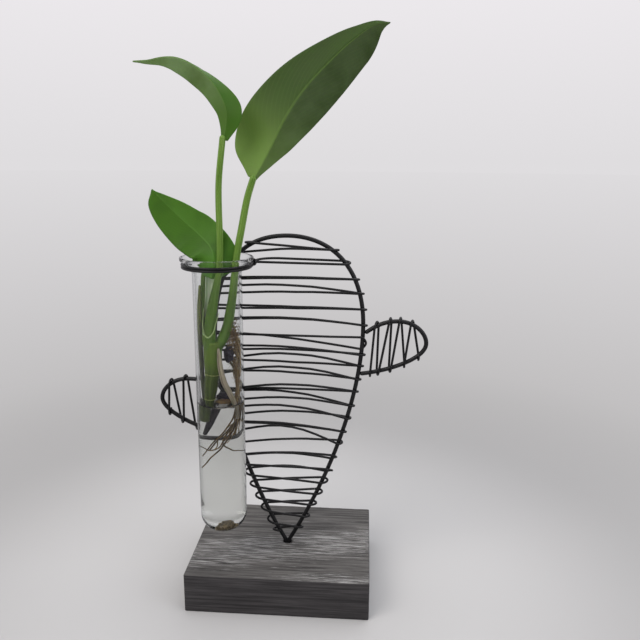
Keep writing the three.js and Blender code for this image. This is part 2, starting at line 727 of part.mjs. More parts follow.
// Roots that spring from one knot are one growth, so they are joined into one body.
function rootGrowth(knot, routes, extra = 0) {
  const ball = new THREE.SphereGeometry(ROOT_KNOT_DIAMETER / 2 + extra, 8, 6);
  ball.translate(knot.x, knot.y, knot.z);
  const skins = routes.map((route) => (
    rod({ route, steps: 14, thick: ROOT_DIAMETER, thin: ROOT_TIP_DIAMETER, sides: 5 }, extra)
  ));
  return fromManifold(skins.reduce((growth, skin) => growth.add(toManifold(skin)), toManifold(ball)));
}

// Root litter, settled on the middle of the tube's bottom
function litterLump(extra) {
  const lump = new THREE.IcosahedronGeometry(1, 1);
  lump.scale(LITTER_LENGTH / 2 + extra, LITTER_WIDTH / 2 + extra, LITTER_THICKNESS / 2 + extra);
  lump.rotateY(radians(-6));
  const floor = TUBE_BOTTOM_Z + TUBE_WALL + SEAT_GAP;
  lump.translate(TUBE_X + 1.5, TUBE_Y - 0.6, floor + LITTER_THICKNESS / 2);
  return lump;
}

// The leaves. Each rib's stops are offsets from its start, and the widths of its two halves at evenly
// spaced stations from base to tip are shares of the leaf's length. Folds are in degrees.
const BIG_LEAF = {
  length: BIG_LEAF_LENGTH,
  rib: [
    [0.04, 0.01, 0.07], [0.09, 0.03, 0.17], [0.15, 0.04, 0.29], [0.235, 0.05, 0.42], [0.35, 0.05, 0.54],
    [0.475, 0.03, 0.645], [0.575, 0, 0.7], [0.64, -0.02, 0.705],
  ],
  facing: vec(-0.15, -1, 0.2).normalize(),
  halves: {
    left: {
      shown: [0.02, 0.155, 0.205, 0.23, 0.215, 0.18, 0.14, 0.09, 0.04, 0.014, 0],
      fold: [8, 12, 12, 14, 20],
    },
    right: {
      shown: [0.01, 0.024, 0.052, 0.086, 0.11, 0.12, 0.117, 0.1, 0.08, 0.036, 0],
      fold: [35, 46, 50, 48, 30],
    },
  },
};
const LEFT_LEAF = {
  length: LEFT_LEAF_LENGTH,
  rib: [
    [0.02, 0, 0.1], [0.025, -0.01, 0.2], [-0.01, -0.02, 0.3], [-0.07, -0.03, 0.4], [-0.145, -0.04, 0.47],
    [-0.235, -0.05, 0.525], [-0.32, -0.06, 0.55], [-0.41, -0.07, 0.55], [-0.5, -0.08, 0.53],
    [-0.61, -0.09, 0.52],
  ],
  facing: vec(-0.1, -1, 0.35).normalize(),
  halves: {
    left: {
      shown: [0.015, 0.05, 0.085, 0.1, 0.107, 0.105, 0.1, 0.08, 0.05, 0.024, 0],
      fold: [10, 25, 35, 35, 20],
    },
    right: {
      shown: [0.024, 0.084, 0.108, 0.08, 0.04, 0.03, 0.03, 0.03, 0.022, 0.014, 0],
      fold: [15, 40, 76, 77, 60],
    },
  },
};
const LOW_LEAF = {
  length: LOW_LEAF_LENGTH,
  rib: [
    [0.03, 0, 0.18], [-0.11, 0.005, 0.335], [-0.26, 0.02, 0.465], [-0.43, 0.03, 0.575],
    [-0.555, 0.045, 0.725],
  ],
  facing: vec(0.1, -1, 0.15).normalize(),
  halves: {
    left: {
      shown: [0.01, 0.08, 0.19, 0.24, 0.25, 0.255, 0.25, 0.225, 0.19, 0.11, 0],
      fold: [-24, -8, -6, -6, -4],
    },
    right: {
      shown: [0.01, 0.08, 0.16, 0.18, 0.17, 0.15, 0.12, 0.1, 0.07, 0.02, 0],
      fold: [-24, -10, -8, -8, -6],
    },
  },
};

// The value at a share of the way along evenly spaced stations
function station(values, share) {
  const place = share * (values.length - 1);
  const left = Math.min(Math.floor(place), values.length - 2);
  return lerp(values[left], values[left + 1], place - left);
}

// A leaf blade: a thin skin over a bent rib, which starts at its stalk. Each half is as wide as it is
// seen from the front, and is folded back from there by its own angle.
function leafBlade(start, { length, rib, facing, halves }) {
  const stops = rib.map(([x, y, z]) => start.clone().add(vec(x, y, z).multiplyScalar(length)));
  const path = smooth([start, ...stops], LEAF_STEPS);
  const { tangents } = pathFrames(path);
  const rings = path.map((point, i) => {
    const along = i / (path.length - 1);
    const across = tangents[i].clone().cross(facing).normalize();
    const lift = across.clone().cross(tangents[i]).normalize();
    const place = (side, reach, offset) => {
      const { shown, fold } = side < 0 ? halves.left : halves.right;
      const half = Math.max(LEAF_LEAST_HALF, length * station(shown, along)) * reach;
      const angle = radians(station(fold, along)) * Math.min(1, half / LEAF_THICKNESS);
      return point.clone()
        .addScaledVector(across, side * half)
        .addScaledVector(lift, offset - half * Math.tan(angle));
    };
    const deep = LEAF_THICKNESS / 2;
    const thin = LEAF_EDGE_THICKNESS / 2;
    return [
      place(-1, 1, thin),
      place(-1, 0.5, deep),
      place(-1, 0, deep),
      place(1, 0.5, deep),
      place(1, 1, thin),
      place(1, 1, -thin),
      place(1, 0.5, -deep),
      place(-1, 0, -deep),
      place(-1, 0.5, -deep),
      place(-1, 1, -thin),
    ];
  });
  return loft(rings);
}

// A leaf stalk. It returns the place where its blade's rib starts, a seat gap past its end.
function addStalk(name, route, widthBase, widthTop, flatness) {
  const path = smooth(route, 12);
  addPiece(name, sweep(path, taper(widthBase / 2, widthTop / 2), 8, flatness), PETIOLE_GREEN);
  const ahead = path.at(-1).clone().sub(path.at(-2)).setLength(1.5 * SEAT_GAP);
  return path.at(-1).clone().add(ahead);
}

// A point above the tube, from the middle of its mouth
const aboveMouth = (x, y, height) => vec(TUBE_X + x, TUBE_Y + y, RIM_Z + height);

function addCutting() {
  const base = STEM_TOP_DEPTH - 2 * SEAT_GAP;
  const thickStalk = PETIOLE_DIAMETER * 1.15;
  const thinStalk = PETIOLE_DIAMETER * 0.9;
  addPiece('main_stem', rod(STEM), STEM_OLIVE);
  const bigRib = addStalk('big_leaf_petiole', [
    inTube(1.6, 0.8, base), inTube(5.6, 0.6, 26), inTube(8.2, 0.5, 9), aboveMouth(10.5, 0.9, 3),
    aboveMouth(12.9, 1.3, 14), aboveMouth(15.9, 1.9, 29), aboveMouth(18.3, 2.5, 37),
  ], thickStalk * STALK_OF_BIG_LEAF, thinStalk, 1);
  const leftRib = addStalk('left_leaf_petiole', [
    inTube(-3, -1.9, base), inTube(-0.2, -2.4, 20), aboveMouth(2.3, -2.8, 4), aboveMouth(2.6, -2.9, 34),
    aboveMouth(4.5, -2.7, 55.6),
  ], thickStalk, thinStalk, 1);
  const lowRib = addStalk('leaf_sheath', [
    inTube(-4.4, 3.2, base - 0.3), inTube(-4.5, 3.7, 28), inTube(-4.2, 4, 16), inTube(-3, 4.5, 7.6),
  ], SHEATH_BASE_WIDTH, SHEATH_TOP_WIDTH, 0.6);
  addPiece('big_leaf', leafBlade(bigRib, BIG_LEAF), LEAF_GREEN);
  addPiece('left_leaf', leafBlade(leftRib, LEFT_LEAF), LEAF_GREEN);
  addPiece('low_leaf', leafBlade(lowRib, LOW_LEAF), LEAF_GREEN);
  addPiece('aerial_root', rod(AERIAL_ROOT), ROOT_PALE);
  addPiece('root_bundle', rootGrowth(bundleKnot, BUNDLE_ROUTES), ROOT_BROWN);
  addPiece('trailing_roots', rootGrowth(trailingKnot, TRAILING_ROUTES), ROOT_BROWN);
}

addBlock();
addOutline();
addArm('right_arm', 1, rightRail, RIGHT_ARM, RIGHT_ARM_LACING);
addArm('left_arm', -1, leftRail, LEFT_ARM, LEFT_ARM_LACING);
addBodyWinding();
addRing();
addGlassTube();
addWater([
  rod(STEM, SEAT_GAP),
  rod(AERIAL_ROOT, SEAT_GAP),
  rootGrowth(bundleKnot, BUNDLE_ROUTES, SEAT_GAP),
  rootGrowth(trailingKnot, TRAILING_ROUTES, SEAT_GAP),
  litterLump(2 * SEAT_GAP),
]);
addCutting();
addPiece('root_litter', litterLump(0), ROOT_BROWN);

export default group;
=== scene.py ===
"""Hydroponic planter: a glass tube with a rooted cutting, hung in a wire frame on a stained block.

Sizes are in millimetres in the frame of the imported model: X to the right, Y away from the viewer,
Z up, with the middle of the block's underside at the origin. Every mesh is made in metres.
"""
import logging
import math
import random
from collections.abc import Callable, Sequence
from dataclasses import dataclass, field
from enum import Enum
from typing import Any

import bmesh
import bpy
from bmesh.types import BMEdge, BMesh, BMVert
from bpy.types import Material, Node, NodeSocket, NodeTree, Object
from mathutils import Matrix, Vector, noise
from mathutils.geometry import interpolate_bezier


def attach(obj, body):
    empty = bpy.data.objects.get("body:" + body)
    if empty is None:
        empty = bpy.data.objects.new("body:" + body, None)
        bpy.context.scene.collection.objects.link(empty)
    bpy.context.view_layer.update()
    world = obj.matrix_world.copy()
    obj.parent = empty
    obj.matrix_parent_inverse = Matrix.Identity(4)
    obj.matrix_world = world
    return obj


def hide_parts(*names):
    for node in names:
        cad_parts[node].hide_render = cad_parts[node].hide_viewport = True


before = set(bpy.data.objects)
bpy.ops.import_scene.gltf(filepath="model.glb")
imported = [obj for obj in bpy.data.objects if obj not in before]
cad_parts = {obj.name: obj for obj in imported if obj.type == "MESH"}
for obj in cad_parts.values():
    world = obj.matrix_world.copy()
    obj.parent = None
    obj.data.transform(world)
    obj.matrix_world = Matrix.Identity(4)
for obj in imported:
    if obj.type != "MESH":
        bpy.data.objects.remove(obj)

log = logging.getLogger("planter")

MM = 0.001
MERGE_DISTANCE = 0.002
BLOCK_TOP = 22.5
FRAME_PLANE_Y = -1.4
FOOT_X = 2.15
FRAME_WIRE_RADIUS = 1.17
WINDING_WIRE_RADIUS = 0.65
WRAP_RADIUS = FRAME_WIRE_RADIUS + WINDING_WIRE_RADIUS + 0.15
TUBE_X = -30.5
TUBE_Y = -21.5
TUBE_BOTTOM_Z = 42.57
TUBE_RADIUS = 12.5
TUBE_WALL = 1.2
TUBE_BORE_RADIUS = TUBE_RADIUS - TUBE_WALL
TUBE_BOTTOM_RADIUS = 9.5
# Radius and height of the middle of the bottom's rounding, which runs round a small flat
ROUNDING_MIDDLE = (TUBE_RADIUS - TUBE_BOTTOM_RADIUS, TUBE_BOTTOM_Z + TUBE_BOTTOM_RADIUS)
LIP_RADIUS = 18.5
CONE_START_Z = 185.07
CONE_END_Z = 191.07
RIM_Z = 192.57
WATER_LEVEL_Z = 115.27
HOOK_Z = 186.8
TURNED_STEPS = 96
NOISE_SEED = 3

# Settings of a Map Range that eases in and out, and of a Mix of colours, with its sockets
SMOOTH = {"interpolation_type": "SMOOTHSTEP"}
COLOURS = {"data_type": "RGBA"}
MIX_SHARE, MIX_FIRST, MIX_SECOND, MIX_RESULT = 0, 6, 7, 2


class Body(Enum):
    """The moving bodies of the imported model."""

    STAND = "stand"
    TUBE = "tube"
    PLANT = "plant"


class Axis(Enum):
    """The coordinate that a rail of the frame is measured along, and the one across it."""

    HEIGHT = (2, 0)
    WIDTH = (0, 2)


class RodEnd(Enum):
    """How a rod ends: nipped square, or rounded."""

    SQUARE = "square"
    ROUND = "round"


def lerp(first: float, second: float, share: float) -> float:
    """Blends two numbers.

    Args:
        first: The number at share 0.
        second: The number at share 1.
        share: How far to go from the first to the second.

    Returns:
        The blended number.
    """
    return first + (second - first) * share


def table(values: Sequence[float], share: float) -> float:
    """Reads an evenly spaced table.

    Args:
        values: The table's values, the first at share 0 and the last at share 1.
        share: Where to read, from 0 to 1.

    Returns:
        The value there, blended between its neighbours.
    """
    place = min(max(share, 0.0), 1.0) * (len(values) - 1)
    left = min(int(place), len(values) - 2)
    return lerp(values[left], values[left + 1], place - left)


def linear(colour: str) -> tuple[float, float, float, float]:
    """Turns an sRGB hex colour to the linear values that shaders take.

    Args:
        colour: Six hex digits with a leading hash.

    Returns:
        Linear red, green and blue, and an alpha of 1.
    """
    parts = [int(colour[i:i + 2], 16) / 255 for i in (1, 3, 5)]
    red, green, blue = [p / 12.92 if p <= 0.04045 else ((p + 0.055) / 1.055) ** 2.4 for p in parts]
    return (red, green, blue, 1.0)


def per_metre(size: float) -> float:
    """Gives the scale at which a pattern on metre coordinates repeats about every size millimetres.

    Args:
        size: The pattern's size in millimetres.

    Returns:
        The scale for a texture or mapping node.
    """
    return 1 / (size * MM)


def in_plane(x: float, height: float) -> Vector:
    """Gives a point of the frame's plane.

    Args:
        x: Its place from left to right.
        height: Its height above the block's top.

    Returns:
        The point in millimetres.
    """
    return Vector((x, FRAME_PLANE_Y, BLOCK_TOP + height))


def in_tube(x: float, y: float, depth: float) -> Vector:
    """Gives a point by its place from the middle of the tube's mouth.

    Args:
        x: To the right of the tube's axis.
        y: Behind the tube's axis.
        depth: Below the rim, or above it where negative.

    Returns:
        The point in millimetres.
    """
    return Vector((TUBE_X + x, TUBE_Y + y, RIM_Z - depth))


def around_tube(radius: float, degrees: float, z: float) -> Vector:
    """Gives a point round the tube's axis.

    Args:
        radius: Its distance from the axis.
        degrees: Its direction seen from above, 0 to the right.
        z: Its height.

    Returns:
        The point in millimetres.
    """
    angle = math.radians(degrees)
    return Vector((TUBE_X + radius * math.cos(angle), TUBE_Y + radius * math.sin(angle), z))


def bezier(corners: Sequence[Vector], steps: int) -> list[Vector]:
    """Samples a cubic curve.

    Args:
        corners: Its start, its two handles and its end.
        steps: How many steps to take.

    Returns:
        The points along it, both ends included.
    """
    return [Vector(p) for p in interpolate_bezier(*corners, steps + 1)]


def smooth_route(stops: Sequence[Vector], steps: int) -> list[Vector]:
    """Runs a smooth curve through a few points.

    Args:
        stops: The points that it passes.
        steps: How many steps to take over the whole route.

    Returns:
        The points along the curve, both ends included.
    """
    ends = [stops[0] * 2 - stops[1], *stops, stops[-1] * 2 - stops[-2]]
    route = []
    for step in range(steps + 1):
        place = step / steps * (len(stops) - 1)
        left = min(int(place), len(stops) - 2)
        share = place - left
        before, start, end, after = ends[left:left + 4]
        first, mid, late = [
            max((b - a).length ** 0.5, 1e-6) for a, b in ((before, start), (start, end), (end, after))
        ]
        leave = (start - before) / first - (end - before) / (first + mid) + (end - start) / mid
        reach = (end - start) / mid - (after - start) / (mid + late) + (after - end) / late
        leave *= mid
        reach *= mid
        square, cube = share * share, share ** 3
        route.append(
            start * (2 * cube - 3 * square + 1)
            + leave * (cube - 2 * square + share)
            + end * (3 * square - 2 * cube)
            + reach * (cube - square)
        )
    return route


def frames_along(route: Sequence[Vector], side: Vector) -> list[Matrix]:
    """Gives an untwisted cross frame at each point of a route.

    Args:
        route: The points of the route.
        side: The direction that the frames' first axis starts nearest to.

    Returns:
        A matrix for each point: its columns are two directions across the route, the one along it,
        and the point.
    """
    last = len(route) - 1
    ahead = [(route[min(i + 1, last)] - route[max(i - 1, 0)]).normalized() for i in range(last + 1)]
    across = (side - ahead[0] * side.dot(ahead[0])).normalized()
    frames = []
    for i, point in enumerate(route):
        if i:
            across = ahead[i - 1].rotation_difference(ahead[i]) @ across
            across = (across - ahead[i] * across.dot(ahead[i])).normalized()
        other = ahead[i].cross(across)
        frames.append(Matrix((
            (across.x, other.x, ahead[i].x, point.x),
            (across.y, other.y, ahead[i].y, point.y),
            (across.z, other.z, ahead[i].z, point.z),
            (0, 0, 0, 1),
        )))
    return frames


def new_mesh() -> BMesh:
    """Starts an empty mesh with the layer that carries a surface's own directions.

    Returns:
        The mesh.
    """
    shape = bmesh.new()
    shape.verts.layers.float_vector.new("flow")
    return shape


def add_rod(
    shape: BMesh,
    route: Sequence[Vector],
    radius: Callable[[float], float],
    sides: int,
    end: RodEnd = RodEnd.ROUND,
    flatness: float = 1.0,
    side: Vector = Vector((0.3, -1, 0.1)),
) -> None:
    """Extrudes a ring along a route into a closed rod.

    The layer flow holds each point's place round the rod as cosine and sine, and its run along it
    in centimetres.

    Args:
        shape: The mesh that takes the rod.
        route: The points of its middle line.
        radius: Its radius by the share of the route.
        sides: The number of its sides.
        end: How its ends are finished.
        flatness: Its thickness along the second cross axis over that along the first.
        side: The direction of the first cross axis at the start.
    """
    flow = shape.verts.layers.float_vector["flow"]
    frames = frames_along(route, side)
    last = len(route) - 1
    stations = [(frames[i], radius(i / last), 0.0) for i in range(last + 1)]
    if end is RodEnd.ROUND:
        # Rings of a half ball, at these angles from its pole
        bulge = [(math.sin(a), math.cos(a)) for a in (0.35, 0.85, 1.25)]
        tail = [(frames[0], radius(0.0) * s, -radius(0.0) * c) for s, c in bulge]
        head = [(frames[last], radius(1.0) * s, radius(1.0) * c) for s, c in reversed(bulge)]
        stations = tail + stations + head
    ring = bmesh.ops.create_circle(shape, segments=sides, radius=1.0)["verts"]
    for vert in ring:
        vert[flow] = (vert.co.x, vert.co.y, 0.0)
    edges = list(dict.fromkeys(edge for vert in ring for edge in vert.link_edges))
    before = Matrix.Identity(4)
    run = 0.0
    first_edges = edges
    previous = Vector()
    for number, (place, thick, shift) in enumerate(stations):
        here = place @ Matrix.Translation((0, 0, shift)) @ Matrix.Diagonal((thick, thick * flatness, 1, 1))
        if number:
            grown = bmesh.ops.extrude_edge_only(shape, edges=edges)["geom"]
            ring = [part for part in grown if isinstance(part, BMVert)]
            edges = [p for p in grown if isinstance(p, BMEdge) and p.is_boundary]
            run += (here.translation - previous).length / 10
        bmesh.ops.transform(shape, matrix=here @ before.inverted(), verts=ring)
        for vert in ring:
            vert[flow] = (vert[flow].x, vert[flow].y, run)
        before = here
        previous = here.translation.copy()
    bmesh.ops.edgeloop_fill(shape, edges=first_edges)
    bmesh.ops.edgeloop_fill(shape, edges=edges)


def add_turned(shape: BMesh, profile: Sequence[tuple[float, float]]) -> None:
    """Spins a profile round the tube's axis into a closed body.

    Args:
        shape: The mesh that takes the body.
        profile: Radius and height of each corner, from the axis and back to it.
    """
    corners = [shape.verts.new((TUBE_X + r, TUBE_Y, z)) for r, z in profile]
    lines = [shape.edges.new(pair) for pair in zip(corners, corners[1:])]
    bmesh.ops.spin(
        shape, geom=[*corners, *lines], cent=(TUBE_X, TUBE_Y, 0), axis=(0, 0, 1), dvec=(0, 0, 0),
        angle=2 * math.pi, steps=TURNED_STEPS, use_merge=True, use_duplicate=False,
    )


def arc(
    middle: tuple[float, float], radius: float, start: float, end: float, steps: int,
) -> list[tuple[float, float]]:
    """Gives the points of an arc in a profile.

    Args:
        middle: Radius and height of the arc's middle.
        radius: The arc's own radius.
        start: The direction of its start, in degrees.
        end: The direction of its end, in degrees.
        steps: How many steps it takes.

    Returns:
        Radius and height of each point.
    """
    angles = [math.radians(lerp(start, end, i / steps)) for i in range(steps + 1)]
    return [(middle[0] + radius * math.cos(a), middle[1] + radius * math.sin(a)) for a in angles]


def add_node(
    tree: NodeTree, kind: str, settings: dict[str, Any], inputs: dict[Any, Any],
) -> Node:
    """Adds a node with its settings, its values and its links.

    Args:
        tree: The material's or world's node tree.
        kind: The node's type name.
        settings: Properties of the node by name.
        inputs: A value, or another node's output socket, by the input's name or number.

    Returns:
        The new node.
    """
    node = tree.nodes.new(kind)
    for name, value in settings.items():
        setattr(node, name, value)
    for name, value in inputs.items():
        if isinstance(value, NodeSocket):
            tree.links.new(value, node.inputs[name])
        else:
            node.inputs[name].default_value = value
    return node


@dataclass(frozen=True)
class Finish:
    """A finish of the planter. Each kind lays out its own nodes on a material."""

    name: str

    def material(self) -> Material:
        """Gives the finish's material, made at its first use.

        Returns:
            The material.
        """
        made = bpy.data.materials.get(self.name)
        if made is None:
            made = bpy.data.materials.new(self.name)
            made.use_nodes = True
            made.node_tree.nodes.clear()
            self.lay_out(made.node_tree)
        return made

    def lay_out(self, tree: NodeTree) -> None:
        """Adds the finish's nodes to an empty tree."""
        raise NotImplementedError

    def cover(
        self, tree: NodeTree, relief: NodeSocket, strength: float, depth: float,
        surface: dict[str, Any],
    ) -> None:
        """Ends the finish: its relief, its shader and the output.

        Args:
            tree: The tree that takes the nodes.
            relief: The height of the fine relief.
            strength: How much of the relief shows.
            depth: The depth of the relief in millimetres.
            surface: The shader's inputs.
        """
        bumps = add_node(tree, "ShaderNodeBump", {}, {
            "Height": relief, "Strength": strength, "Distance": depth * MM,
        }).outputs["Normal"]
        shader = add_node(tree, "ShaderNodeBsdfPrincipled", {}, {**surface, "Normal": bumps}).outputs[0]
        add_node(tree, "ShaderNodeOutputMaterial", {}, {"Surface": shader})


@dataclass(frozen=True)
class AnnealedWire(Finish):
    """Black annealed iron wire, drawn and tempered.

    Its thin oxide skin is nearly black with a soft satin gloss, and slightly uneven from handling.
    """

    skin: str = "#09090b"
    rubbed: str = "#161518"
    roughness: float = 0.42

    def lay_out(self, tree: NodeTree) -> None:
        """Lays out the oxide skin.

        Args:
            tree: The material's empty tree.
        """
        place = add_node(tree, "ShaderNodeTexCoord", {}, {}).outputs["Object"]
        # Patches of handling wear, 4 mm across
        patches = add_node(tree, "ShaderNodeTexNoise", {}, {
            "Vector": place, "Scale": per_metre(4), "Detail": 4.0, "Roughness": 0.6,
        }).outputs[0]
        worn = add_node(tree, "ShaderNodeMapRange", {}, {
            "Value": patches, "From Min": 0.45, "From Max": 0.75,
        }).outputs[0]
        colour = add_node(tree, "ShaderNodeMix", COLOURS, {
            MIX_SHARE: worn, MIX_FIRST: linear(self.skin), MIX_SECOND: linear(self.rubbed),
        }).outputs[MIX_RESULT]
        gloss = add_node(tree, "ShaderNodeMapRange", {}, {
            "Value": patches, "To Min": self.roughness - 0.08, "To Max": self.roughness + 0.1,
        }).outputs[0]
        # Scale of the oxide, really a few hundredths of a millimetre, drawn at 0.5 mm so that it shows
        scale = add_node(tree, "ShaderNodeTexNoise", {}, {
            "Vector": place, "Scale": per_metre(0.5), "Detail": 2.0,
        }).outputs[0]
        self.cover(tree, scale, 0.25, 0.04, {
            "Base Color": colour, "Roughness": gloss, "Specular IOR Level": 0.28,
        })


@dataclass(frozen=True)
class DryBrushedTimber(Finish):
    """Sawn softwood, stained dark grey and dry-brushed with pale paint.

    The stain sinks into the grain as dark lines along the board, and the brush leaves broken pale
    streaks on the high grain: most in one slanting band over the top, and near its front arris.
    Places are in millimetres.
    """

    # The sides' stain is darker than the top's: partly the wood's own tone, partly painted shade on the faces
    # turned from the overhead light
    top_dark: str = "#343231"
    top_light: str = "#666361"
    shaded_side_dark: str = "#252324"
    shaded_side_light: str = "#423f40"
    streak: str = "#adabaa"
    band_slant: float = 0.2
    band_shift: float = 9.0
    band_reach: tuple[float, float] = (6.0, 24.0)
    worn_front: tuple[float, float] = (-36.0, -26.0)
    worn_right: tuple[float, float] = (-20.0, 30.0)
    pressure: float = 0.15

    def lay_out(self, tree: NodeTree) -> None:
        """Lays out the stained grain, the tone patches and the dry-brushed streaks.

        Args:
            tree: The material's empty tree.
        """
        place = add_node(tree, "ShaderNodeTexCoord", {}, {}).outputs["Object"]
        parts = add_node(tree, "ShaderNodeSeparateXYZ", {}, {0: place}).outputs
        # Growth lines along the board: 36 mm long, 1.5 mm across the top and 1.2 mm down the sides
        drawn_out = add_node(tree, "ShaderNodeMapping", {}, {
            "Vector": place, "Scale": (per_metre(36), per_metre(1.5), per_metre(1.2)),
        }).outputs[0]
        grain = add_node(tree, "ShaderNodeTexNoise", {}, {
            "Vector": drawn_out, "Scale": 1.0, "Detail": 5.0, "Roughness": 0.65, "Distortion": 0.4,
        }).outputs[0]
        # Brush dashes: 16 mm long and about 0.65 mm across
        brushed = add_node(tree, "ShaderNodeMapping", {}, {
            "Vector": place, "Scale": (per_metre(16), per_metre(0.65), per_metre(0.7)),
        }).outputs[0]
        dashes = add_node(tree, "ShaderNodeTexNoise", {}, {
            "Vector": brushed, "Scale": 1.0, "Detail": 4.0, "Roughness": 0.72, "Distortion": 0.25,
        }).outputs[0]
        # Tone patches where more or less stain took: 24 mm by 6 mm
        spread = add_node(tree, "ShaderNodeMapping", {}, {
            "Vector": place, "Scale": (per_metre(24), per_metre(6), per_metre(6)),
        }).outputs[0]
        patches = add_node(tree, "ShaderNodeTexNoise", {}, {
            "Vector": spread, "Scale": 1.0, "Detail": 2.0,
        }).outputs[0]
        # The top and the sides take two copies of the stain; the sides' darker copy is partly painted shade
        on_top = add_node(tree, "ShaderNodeMapRange", SMOOTH, {
            "Value": parts["Z"], "From Min": (BLOCK_TOP - 0.7) * MM, "From Max": (BLOCK_TOP - 0.1) * MM,
        }).outputs[0]
        depth = add_node(tree, "ShaderNodeMapRange", {}, {
            "Value": grain, "From Min": 0.36, "From Max": 0.64,
        }).outputs[0]
        top = add_node(tree, "ShaderNodeMix", COLOURS, {
            MIX_SHARE: depth, MIX_FIRST: linear(self.top_dark), MIX_SECOND: linear(self.top_light),
        }).outputs[MIX_RESULT]
        side = add_node(tree, "ShaderNodeMix", COLOURS, {
            MIX_SHARE: depth, MIX_FIRST: linear(self.shaded_side_dark), MIX_SECOND: linear(self.shaded_side_light),
        }).outputs[MIX_RESULT]
        stained = add_node(tree, "ShaderNodeMix", COLOURS, {
            MIX_SHARE: on_top, MIX_FIRST: side, MIX_SECOND: top,
        }).outputs[MIX_RESULT]
        tone = add_node(tree, "ShaderNodeMapRange", {}, {
            "Value": patches, "From Min": 0.3, "From Max": 0.7, "To Min": 0.82, "To Max": 1.12,
        }).outputs[0]
        toned = add_node(tree, "ShaderNodeHueSaturation", {}, {"Value": tone, "Color": stained}).outputs[0]
        # The brush ran over the top in a slanting band from the front left to the back right
        slant = add_node(tree, "ShaderNodeMath", {"operation": "MULTIPLY_ADD"}, {
            0: parts["X"], 1: -self.band_slant, 2: parts["Y"],
        }).outputs[0]
        from_band = add_node(tree, "ShaderNodeMath", {"operation": "ADD"}, {
            0: slant, 1: self.band_shift * MM,
        }).outputs[0]
        off_band = add_node(tree, "ShaderNodeMath", {"operation": "ABSOLUTE"}, {0: from_band}).outputs[0]
        band = add_node(tree, "ShaderNodeMapRange", SMOOTH, {
            "Value": off_band, "From Min": self.band_reach[0] * MM, "From Max": self.band_reach[1] * MM,
            "To Min": self.pressure, "To Max": 0.0,
        }).outputs[0]
        # It also wore pale towards the front arris, mostly at the right
        to_front = add_node(tree, "ShaderNodeMapRange", SMOOTH, {
            "Value": parts["Y"], "From Min": self.worn_front[0] * MM, "From Max": self.worn_front[1] * MM,
            "To Min": self.pressure, "To Max": 0.0,
        }).outputs[0]
        to_right = add_node(tree, "ShaderNodeMapRange", SMOOTH, {
            "Value": parts["X"], "From Min": self.worn_right[0] * MM, "From Max": self.worn_right[1] * MM,
        }).outputs[0]
        in_band = add_node(tree, "ShaderNodeMath", {"operation": "ADD"}, {0: dashes, 1: band}).outputs[0]
        pressed = add_node(tree, "ShaderNodeMath", {"operation": "MULTIPLY_ADD"}, {
            0: to_front, 1: to_right, 2: in_band,
        }).outputs[0]
        streaks = add_node(tree, "ShaderNodeMapRange", {}, {
            "Value": pressed, "From Min": 0.63, "From Max": 0.77, "To Max": 0.9,
        }).outputs[0]
        # On the sides only the hardest dashes show
        side_streaks = add_node(tree, "ShaderNodeMapRange", {}, {
            "Value": dashes, "From Min": 0.68, "From Max": 0.86, "To Max": 0.3,
        }).outputs[0]
        paint = add_node(tree, "ShaderNodeMix", {"data_type": "FLOAT"}, {
            0: on_top, 2: side_streaks, 3: streaks,
        }).outputs[0]
        colour = add_node(tree, "ShaderNodeMix", COLOURS, {
            MIX_SHARE: paint, MIX_FIRST: toned, MIX_SECOND: linear(self.streak),
        }).outputs[MIX_RESULT]
        relief = add_node(tree, "ShaderNodeMath", {"operation": "MULTIPLY_ADD"}, {
            0: dashes, 1: 0.5, 2: grain,
        }).outputs[0]
        self.cover(tree, relief, 0.7, 0.3, {
            "Base Color": colour, "Roughness": 0.72, "Specular IOR Level": 0.35,
        })


@dataclass(frozen=True)
class BorosilicateGlass(Finish):
    """Clear borosilicate laboratory glass, drawn and flame-polished: smooth and colourless.

    The real glass has an IOR of 1.47. The wall's two close faces mirror less in the room than in a
    studio of even light, so the IOR is matched lower.
    """

    colour: str = "#f6f7f7"
    # Grey of the painted shade on the glass where it is seen edge on
    painted_edge_shade: str = "#8d9094"
    ior: float = 1.27

    def lay_out(self, tree: NodeTree) -> None:
        """Lays out the glass, greyed by painted shade where it is seen edge on, with the faint draw lines of
        the tube.

        Args:
            tree: The material's empty tree.
        """
        place = add_node(tree, "ShaderNodeTexCoord", {}, {}).outputs["Object"]
        # Draw lines: 8 mm apart round the tube and 60 mm along it
        drawn = add_node(tree, "ShaderNodeMapping", {}, {
            "Vector": place, "Scale": (per_metre(8), per_metre(8), per_metre(60)),
        }).outputs[0]
        lines = add_node(tree, "ShaderNodeTexNoise", {}, {
            "Vector": drawn, "Scale": 1.0, "Detail": 1.0,
        }).outputs[0]
        # Painted shade: the clear glass is tinted grey where it is seen edge on, for the dark look of its
        # edges
        facing = add_node(tree, "ShaderNodeLayerWeight", {}, {"Blend": 0.5}).outputs["Facing"]
        edge = add_node(tree, "ShaderNodeMapRange", SMOOTH, {
            "Value": facing, "From Min": 0.4, "From Max": 0.92,
        }).outputs[0]
        edge_shaded_tint = add_node(tree, "ShaderNodeMix", COLOURS, {
            MIX_SHARE: edge, MIX_FIRST: linear(self.colour), MIX_SECOND: linear(self.painted_edge_shade),
        }).outputs[MIX_RESULT]
        self.cover(tree, lines, 0.03, 0.1, {
            "Base Color": edge_shaded_tint, "Transmission Weight": 1.0, "IOR": self.ior, "Roughness": 0.0,
        })


